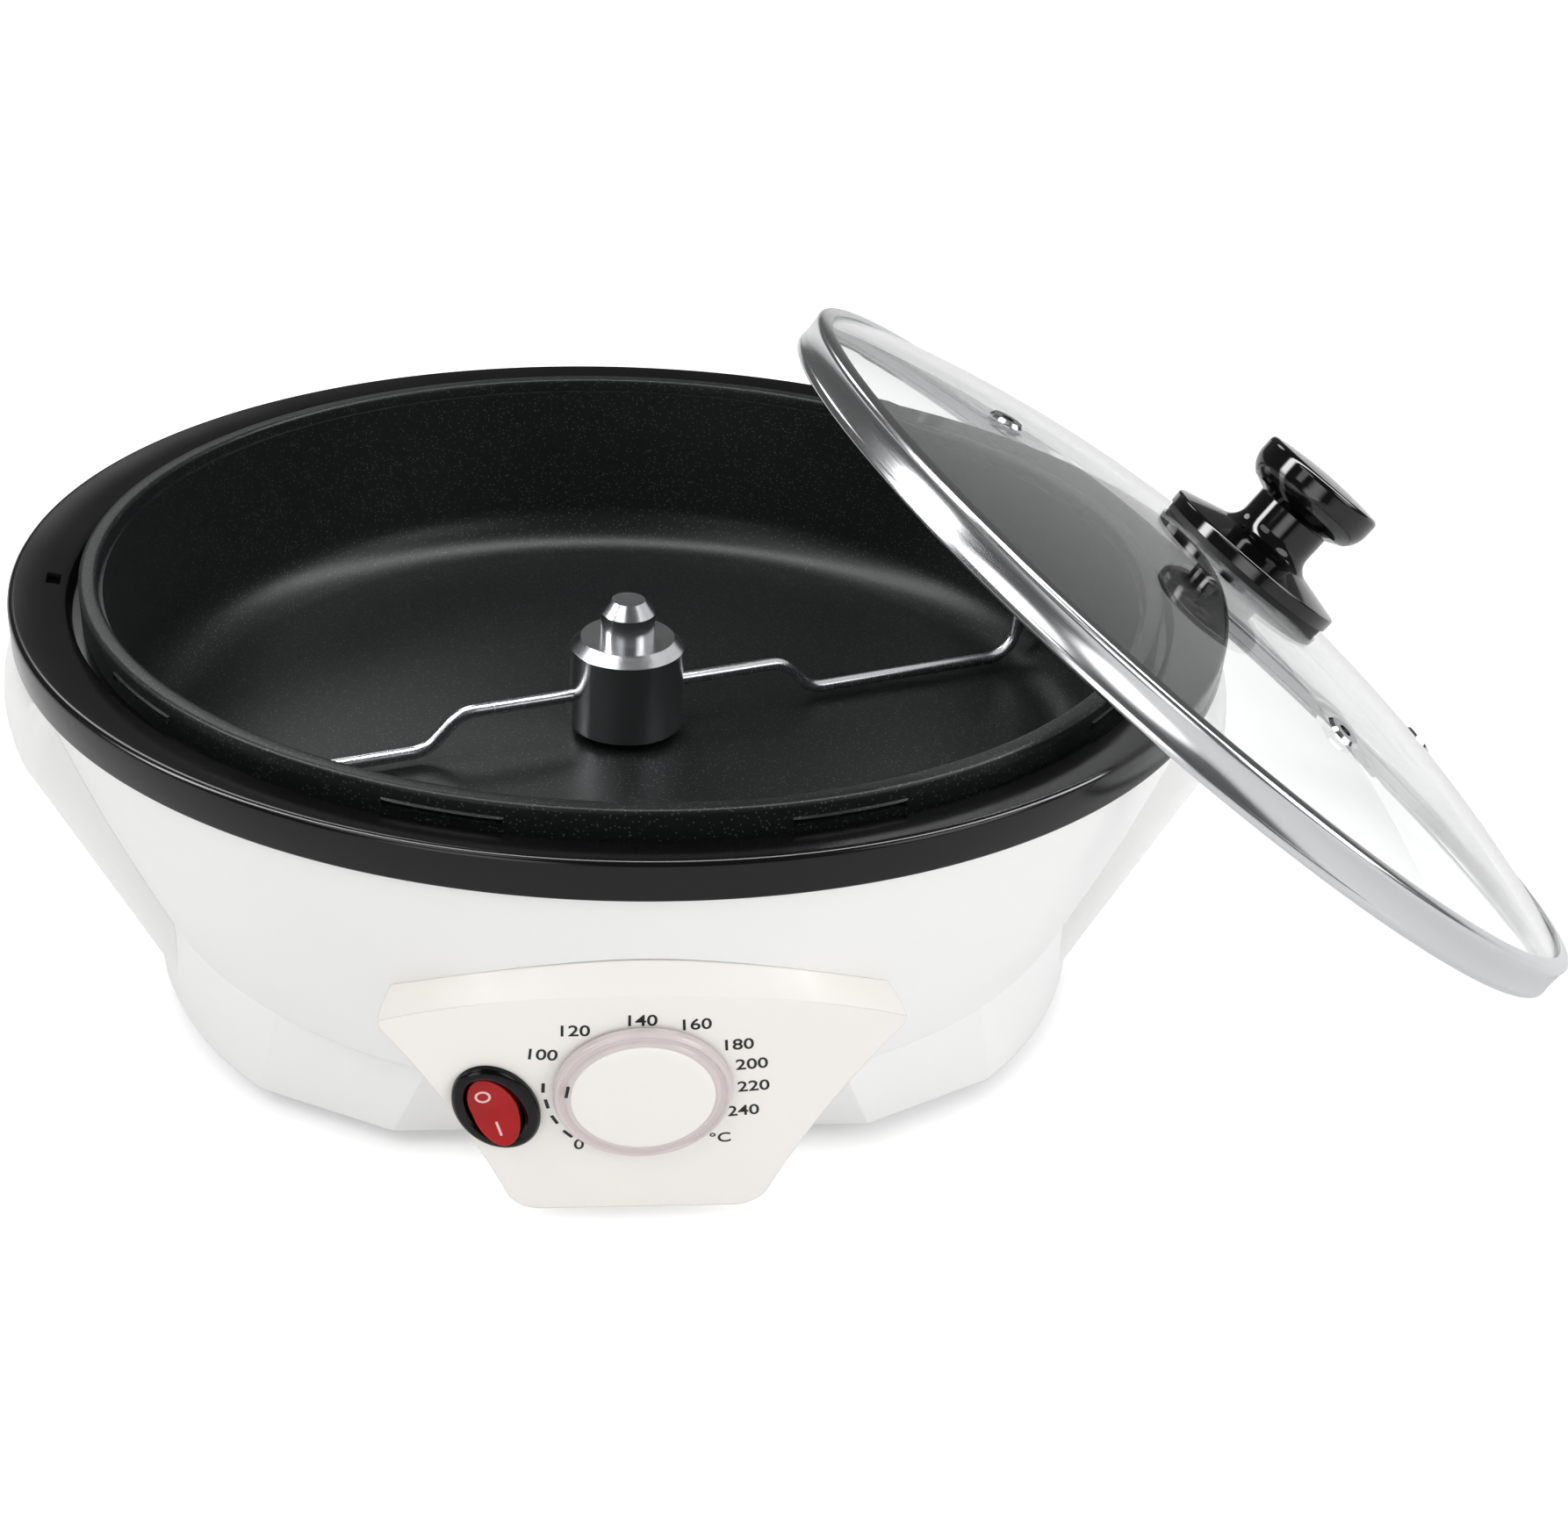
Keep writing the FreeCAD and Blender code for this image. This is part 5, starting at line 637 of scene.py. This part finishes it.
class ROASTER_OT_dial(bpy.types.Operator):
    """Turns the dial's white face and its ring, and lays a dark bar of painted shadow in the seam between
    them
    """
    bl_idname = "roaster.dial"
    bl_label = "Dial"

    # Radii from the dial's middle and heights off the panel's face, in millimetres.
    HUB, BACK, STEP = 6.5, 0.8, 2.4
    FACE, FACE_EDGE, FACE_TOP = 17.75, 3.5, 4.0
    RING, RING_SHOULDER, GROOVE = 21.8, 2.6, 2.7
    OUTER_RIDGE, INNER_RIDGE = (21.0, 3.4), (18.5, 3.5)
    # The dark ink bar in the seam between the face and the ring is painted shadow: its size, its place and
    # its turn.
    MARKER, MARKER_PLACE, MARKER_TURN = (0.8, 3.8, 0.4), (18.6, 0, 3.4), math.radians(172)

    def execute(self, context):
        place = panel_place(*DIAL, 0)
        self.face(place)
        self.ring(place)
        # A dark bar of ink laid in the seam on the dial's left: a painted shadow of that seam.
        seam_shadow = bar(*self.MARKER)
        round_off(seam_shadow, seam_shadow.edges[:], 0.12, 2)
        swing = (Matrix.Rotation(self.MARKER_TURN, 4, "Z")
                 @ Matrix.Translation(Vector(self.MARKER_PLACE) * MM))
        add_piece("dial_seam_painted_shadow", seam_shadow, "dial", printing_ink(), place @ swing)
        # Plated brass: grey-gold, hidden but for the spindle's end.
        finish_nodes(steel("turned_brass_plated_spindle", linear("B9B6AE"), (0.2, 0.35)), "thermostat_shaft")
        return {"FINISHED"}

    def face(self, place):
        """The smooth white knob that the fingers turn."""
        face = turned([(0, 3.3), (3, 3.3), (3, self.BACK), (self.HUB, self.BACK), (self.HUB, self.STEP),
                       (self.FACE, self.STEP), (self.FACE, self.FACE_EDGE), (16.0, 3.8), (0, self.FACE_TOP)])
        soften(face, [(self.FACE, self.FACE_EDGE, 0.5), (16.0, 3.8, 1.2)], segments=6)
        add_piece("dial_face", face, "dial", moulded_abs("moulded_white_dial_abs", colours().panel),
                  place, ["control_knob"])

    def ring(self, place):
        """The skirt round the knob, with two ridges and a groove between them."""
        ring = turned([(self.HUB, self.BACK), (self.RING, self.BACK), (self.RING, self.RING_SHOULDER),
                       self.OUTER_RIDGE, (20.3, self.GROOVE), (19.2, self.GROOVE), self.INNER_RIDGE,
                       (17.7, 3.3), (17.7, self.STEP), (self.HUB, self.STEP)])
        soften(ring, [(self.RING, self.RING_SHOULDER, 0.5), (*self.OUTER_RIDGE, 0.45),
                      (*self.INNER_RIDGE, 0.4)], segments=5)
        # Moulded acrylic, glossy, whose ridges catch thin lines of light; its rose grey is painted shade,
        # the shadowed tone of white plastic laid on as its colour.
        finish = patterned("moulded_acrylic_painted_shade_grey", linear("DDD2D1"), patch=15, darkest=0.93, grain=4.0,
                           depth=0.01, rough=(0.10, 0.18), IOR=1.49)
        add_piece("dial_ring", ring, "dial", finish, place, ["knob_skirt"])


class ROASTER_OT_scale(bpy.types.Operator):
    """Prints the temperature scale round the dial"""
    bl_idname = "roaster.scale"
    bl_label = "Printed scale"

    # Each number: its text, its middle across and up the panel in millimetres, and its turn in degrees.
    NUMBERS = (("0", -15.3, 24.2, 0), ("100", -24.2, 56.4, -5), ("120", -16.6, 64.4, 0),
               ("140", -0.7, 67.7, 1), ("160", 12.3, 66.3, 4), ("180", 22.8, 59.3, 5),
               ("200", 26.2, 52.5, 6), ("220", 27.1, 44.7, 6), ("240", 25.1, 35.9, 6),
               ("°C", 19.9, 26.0, 6))
    WIDENING, BOLDNESS, CURVE_STEPS = 1.05, 0.012, 6
    DASHES = ((-18.1, 28.1), (-21.4, 33.4), (-23.3, 39.1), (-24.2, 44.8))
    DASH_LENGTH, DASH_WIDTH = 3.3, 0.85

    def execute(self, context):
        for text, x, s, tilt in self.NUMBERS:
            self.number(text, x, s, math.radians(tilt))
        for i, (x, s) in enumerate(self.DASHES):
            dash = printed_bar(self.DASH_WIDTH, self.DASH_LENGTH, sizes().ink_thickness / MM)
            along = math.atan2(s - DIAL[1], x - DIAL[0])
            add_piece(f"scale_dash_{i}", dash, "roaster", printing_ink(),
                      panel_place(x, s, 0.04, along))
        return {"FINISHED"}

    def number(self, text, x, s, tilt):
        """One number, drawn as text and turned into a mesh before it is placed."""
        name = "scale_" + ("celsius" if text[-1] == "C" else text)
        letters = bpy.data.curves.new(name, "FONT")
        letters.body, letters.align_x, letters.align_y = text, "CENTER", "CENTER"
        letters.resolution_u, letters.offset = self.CURVE_STEPS, self.BOLDNESS
        writing = bpy.data.objects.new(name, letters)
        bpy.context.scene.collection.objects.link(writing)
        flat = bpy.data.meshes.new_from_object(writing.evaluated_get(bpy.context.evaluated_depsgraph_get()))
        bpy.data.objects.remove(writing)
        mesh = bmesh.new()
        mesh.from_mesh(flat)
        bpy.data.meshes.remove(flat)
        low = [min(v.co[axis] for v in mesh.verts) for axis in (0, 1)]
        high = [max(v.co[axis] for v in mesh.verts) for axis in (0, 1)]
        middle = (-(low[0] + high[0]) / 2, -(low[1] + high[1]) / 2, 0)
        bmesh.ops.translate(mesh, vec=middle, verts=mesh.verts)
        height = sizes().digit_height / (high[1] - low[1])
        bmesh.ops.scale(mesh, vec=(height * self.WIDENING, height, 1), verts=mesh.verts)
        pull_up(mesh, sizes().ink_thickness)
        bmesh.ops.recalc_face_normals(mesh, faces=mesh.faces)
        add_piece(name, mesh, "roaster", printing_ink(), panel_place(x, s, 0.01, tilt))


class ROASTER_OT_switch(bpy.types.Operator):
    """Shapes the oval switch and its red rocker and prints its O and I"""
    bl_idname = "roaster.switch"
    bl_label = "Rocker switch"

    # The switch's turn on the panel, and the rocker's half sizes, stub and face heights in millimetres.
    TURN, ASIDE = math.radians(21), -0.5
    HALF_WIDTH, HALF_LENGTH, STUB = 5.8, 10.4, 5
    MIDDLE_HEIGHT, END_HEIGHT = 1.4, 3.2
    SLOPE = math.atan2(END_HEIGHT - MIDDLE_HEIGHT, HALF_LENGTH)
    BRIM, BRIM_ANGLE, ROCKER_CREASE = 0.5, math.radians(45), 25.0

    # How far each band of radii of the case is squeezed across: its opening, its lip, its cup and its bezel.
    # Only the opening and its lip stand aside with the rocker.
    SQUEEZES = ((0, 11.7, 0.58, True), (11.7, 12.3, 0.62, True), (12.3, 12.8, 0.60, False),
                (12.8, 20, 0.69, False))

    # Each mark's size, and its place across, along and off the rocker's face, in millimetres.
    O_RADIUS, O_HALF_STROKE, O_PLACE = 1.65, 0.3, (-1.4, 4.9, 0.01)
    I_SIZE, I_PLACE = (0.6, 4.0, 0.1), (-1.1, -5.2, 0.04)

    def execute(self, context):
        place = panel_place(*SWITCH, 0, self.TURN)
        # Polished black nylon: near black with small sharp highlights on the bezel.
        black = patterned("moulded_glossy_black_nylon", linear("070708"), patch=10, darkest=0.8, grain=2.0,
                          depth=0.004, rough=(0.12, 0.2), IOR=1.52, Specular_IOR_Level=0.2)
        add_piece("switch_case", self.case(), "roaster", black, place, ["switch_body"])
        red = translucent_red("translucent_red_polycarbonate", colours().rocker)
        tilted = place @ Matrix.Rotation(-ROCKER_TILT, 4, "X")
        add_piece("rocker_paddle", self.paddle(), "rocker", red, tilted, ["switch_rocker"],
                  self.ROCKER_CREASE)
        self.marks(tilted)
        return {"FINISHED"}

    def case(self):
        """The oval bezel and the cup behind it, turned round and then squeezed to ovals."""
        case = turned([(0, -15), (12.6, -15), (12.6, 0), (14.6, 0), (14.6, 1.3), (13.4, 2.2), (12.0, 2.2),
                       (11.4, 1.4), (11.4, -12.5), (0, -12.5)])
        soften(case, [(14.6, 1.3, 0.5), (13.4, 2.2, 0.5), (12.0, 2.2, 0.4)])
        for least, most, squeeze, stands_aside in self.SQUEEZES:
            band = [v for v in case.verts if least <= v.co.xy.length / MM < most]
            bmesh.ops.scale(case, vec=(squeeze, 1, 1), verts=band)
            if stands_aside:
                bmesh.ops.translate(case, vec=(self.ASIDE * MM, 0, 0), verts=band)
        return case

    def paddle(self):
        """The oval rocker: a narrower stub with two faces above it that rise to its ends."""
        paddle = bmesh.new()
        bmesh.ops.create_circle(paddle, cap_ends=True, segments=96, radius=MM)
        bmesh.ops.scale(paddle, vec=(self.HALF_WIDTH, self.HALF_LENGTH, 1), verts=paddle.verts)
        pull_up(paddle, (self.STUB + self.MIDDLE_HEIGHT) * MM)
        bmesh.ops.translate(paddle, vec=(self.ASIDE * MM, 0, -self.STUB * MM), verts=paddle.verts)
        bmesh.ops.scale(paddle, vec=(0.85, 0.77, 1), verts=[v for v in paddle.verts if v.co.z < 0])
        bmesh.ops.bisect_plane(paddle, geom=paddle.verts[:] + paddle.edges[:] + paddle.faces[:],
                               dist=SAME_PLACE, plane_co=(0, 0, 0), plane_no=(0, 1, 0))
        for corner in paddle.verts:
            if corner.co.z > 0:
                corner.co.z += abs(corner.co.y) * math.tan(self.SLOPE)
        bmesh.ops.recalc_face_normals(paddle, faces=paddle.faces)
        brim = [edge for edge in paddle.edges if min(v.co.z for v in edge.verts) > 0
                and len(edge.link_faces) == 2 and edge.calc_face_angle(0.0) > self.BRIM_ANGLE]
        round_off(paddle, brim, self.BRIM, 4)
        return paddle

    def marks(self, rocker):
        """The O sits on the sunk upper half of the rocker and the I on its proud lower half."""
        # Pad-printed ink over red: a soft pinkish white.
        finish = patterned("pad_printed_pink_white_ink", linear("F2C9C9"), patch=5, darkest=0.95, grain=0.6,
                           depth=0.004, rough=(0.35, 0.45), IOR=1.45)
        inner, outer = self.O_RADIUS - self.O_HALF_STROKE, self.O_RADIUS + self.O_HALF_STROKE
        letter_o = turned([(inner, 0), (outer, 0), (outer, 0.08), (inner, 0.08)])
        add_piece("mark_off", letter_o, "rocker", finish, self.on_face(rocker, *self.O_PLACE))
        letter_i = printed_bar(*self.I_SIZE)
        add_piece("mark_on", letter_i, "rocker", finish, self.on_face(rocker, *self.I_PLACE))

    def on_face(self, rocker, x, y, off):
        """From a mark drawn flat to its place on the rocker's sloping face, a little off it."""
        height = self.MIDDLE_HEIGHT + abs(y) * math.tan(self.SLOPE) + off
        return (rocker @ Matrix.Translation(Vector((x, y, height)) * MM)
                @ Matrix.Rotation(math.copysign(self.SLOPE, y), 4, "X"))


class ROASTER_OT_lid(bpy.types.Operator):
    """Finishes the glass dome, its steel band and vents and the black knob"""
    bl_idname = "roaster.lid"
    bl_label = "Glass lid"

    # Heights above the band's foot, then widths inwards from its edge, in millimetres.
    BEAD_TOP, SIDE_TOP, LIP_FOOT, LIP = 2.2, 9.4, 9.8, 11.2
    BEAD, SHEET, SIDE_INSET = 2.4, 0.8, 0.25

    def execute(self, context):
        finish_nodes(tempered_glass("clear_tempered_glass"), "lid_glass")
        # Polished stainless steel: bright, with fine drawn lines.
        polished = steel("polished_stainless_steel", linear("D6D7D9"), (0.06, 0.16))
        finish_nodes(polished, "lid_vents", "knob_washer", "knob_screw")
        self.band()
        # Moulded silicone: dull black.
        silicone = patterned("moulded_black_silicone", linear("1A1A1A"), patch=10, darkest=0.8, grain=0.6,
                             depth=0.02, rough=(0.5, 0.65), IOR=1.42)
        finish_nodes(silicone, "knob_gasket")
        # Polished phenolic: deep black with sharp bright reflections.
        phenolic = patterned("polished_black_phenolic", colours().knob, patch=12, darkest=0.8, grain=5.0,
                             depth=0.01, rough=(0.05, 0.1), IOR=1.6, Specular_IOR_Level=0.35)
        finish_nodes(phenolic, "lid_knob")
        return {"FINISHED"}

    def band(self):
        """Rolls the steel band with its beaded foot and the lip that folds over the glass."""
        edge, foot = LID_RADIUS, LID_RADIUS - self.BEAD
        side, inside = edge - self.SIDE_INSET, edge - self.SHEET
        band = turned([
            (foot, 0), (edge, 0), (edge, self.BEAD_TOP), (side, 2.7), (side, self.SIDE_TOP),
            (edge, self.LIP_FOOT), (edge, self.LIP), (edge - 1.6, 11.8), (edge - 4.5, 12.2),
            (edge - 4.5, 11.12), (edge - 2.03, 10.32), (inside, 9.9), (inside, self.BEAD_TOP),
            (foot, self.BEAD_TOP)])
        soften(band, [(edge, 0, 0.9), (edge, self.BEAD_TOP, 0.4), (foot, 0, 0.9), (foot, self.BEAD_TOP, 0.9),
                      (edge, self.LIP, 0.8), (edge, self.LIP_FOOT, 0.2)])
        # Rolled stainless strip: mirror-bright in streaks that run round the lid.
        finish = steel("rolled_stainless_band", linear("D2D3D5"), (0.10, 0.26), ROLLED, lid_place())
        add_piece("lid_band", band, "lid", finish, lid_place(), ["lid_rim"])


class ROASTER_OT_inside(bpy.types.Operator):
    """Finishes the heater, the gear motor, the controls and the wires inside the housing"""
    bl_idname = "roaster.inside"
    bl_label = "Inner works"

    # Each metal: its finish, colour, least and most roughness, the lie of its grain, and its nodes.
    METALS = (
        # Zinc plate: satin blue-grey, cloudy and without lines.
        ("zinc_plated_steel", "B5B8BB", (0.28, 0.42), (3.0, 3.0, 3.0), (
            "foot_screws", "base_screws", "pan_studs", "spacer_tubes", "stud_nuts", "cutout_bracket",
            "motor_can", "gearbox_case", "motor_bracket", "motor_screws", "bracket_screws", "panel_screws",
            "thermostat_screws", "block_screws")),
        # Spring strip: bright, with fine lines.
        ("spring_stainless_strip", "C2C3C4", (0.2, 0.3), DRAWN, ("element_clamps", "bulb_clips")),
        # A steel sheath browned by its own heat: dark and dull.
        ("oxidised_heater_sheath", "5C564E", (0.4, 0.6), (2.0, 2.0, 2.0), ("heating_element",)),
        # Pressed aluminium: pale and soft.
        ("pressed_aluminium_sheet", "C9CACB", (0.3, 0.42), DRAWN, ("heat_shield", "thermostat_body")),
        # Plain brass: yellow and half bright.
        ("plain_brass", "C9A45A", (0.22, 0.34), DRAWN, (
            "shaft_bush", "thermostat_terminals", "switch_terminals", "terminal_screws", "earth_stud")),
        # Drawn copper: red-brown with soft highlights.
        ("drawn_copper_tube", "B87550", (0.25, 0.38), DRAWN, ("sensing_bulb", "capillary_tube")))

    def execute(self, context):
        for name, colour, rough, grain, nodes in self.METALS:
            finish_nodes(steel(name, linear(colour), rough, grain), *nodes)
        # Fired ceramic: chalky off-white.
        ceramic = patterned("fired_ceramic", linear("E6E1D6"), patch=6, darkest=0.92, grain=0.5, depth=0.02,
                            rough=(0.5, 0.65), IOR=1.55)
        finish_nodes(ceramic, "element_ends", "thermal_cutout")
        # Moulded silicone: dull brick red.
        silicone = patterned("moulded_red_silicone", linear("8E2A22"), patch=8, darkest=0.85, grain=0.6,
                             depth=0.02, rough=(0.5, 0.65), IOR=1.42)
        finish_nodes(silicone, "shaft_seal")
        # Uncoloured nylon: a milky cream with dim highlights.
        nylon = patterned("moulded_natural_nylon", linear("DEDACB"), patch=10, darkest=0.93, grain=0.8,
                          depth=0.02, rough=(0.4, 0.52), IOR=1.53)
        finish_nodes(nylon, "terminal_block")
        # Braided glass sleeving: matt ochre with a rough weave.
        sleeve = patterned("braided_glass_sleeve", linear("B8912F"), patch=4, darkest=0.7, grain=0.5,
                           depth=0.1, rough=(0.6, 0.75), IOR=1.5)
        finish_nodes(sleeve, "internal_leads")
        return {"FINISHED"}


STEPS = (ROASTER_OT_stage, ROASTER_OT_shell, ROASTER_OT_trim_ring, ROASTER_OT_pan, ROASTER_OT_stirrer,
         ROASTER_OT_dial, ROASTER_OT_scale, ROASTER_OT_switch, ROASTER_OT_lid, ROASTER_OT_inside)


class ROASTER_PT_sidebar(bpy.types.Panel):
    """Lists the roaster's pieces and what may be changed"""
    bl_idname = "ROASTER_PT_sidebar"
    bl_label = "Bean roaster"
    bl_space_type = "VIEW_3D"
    bl_region_type = "UI"
    bl_category = "Roaster"

    def draw(self, context):
        for settings in (context.scene.roaster_sizes, context.scene.roaster_colours):
            for name in settings.__annotations__:
                self.layout.prop(settings, name)
        for step in STEPS:
            self.layout.operator(step.bl_idname)


CLASSES = (RoasterSizes, RoasterColours, *STEPS, ROASTER_PT_sidebar)


def register():
    for item in CLASSES:
        bpy.utils.register_class(item)
    bpy.types.Scene.roaster_sizes = PointerProperty(type=RoasterSizes)
    bpy.types.Scene.roaster_colours = PointerProperty(type=RoasterColours)


def unregister():
    del bpy.types.Scene.roaster_colours
    del bpy.types.Scene.roaster_sizes
    for item in reversed(CLASSES):
        bpy.utils.unregister_class(item)


def main():
    register()
    for step in STEPS:
        group, name = step.bl_idname.split(".")
        getattr(getattr(bpy.ops, group), name)()


if __name__ == "__main__":
    main()
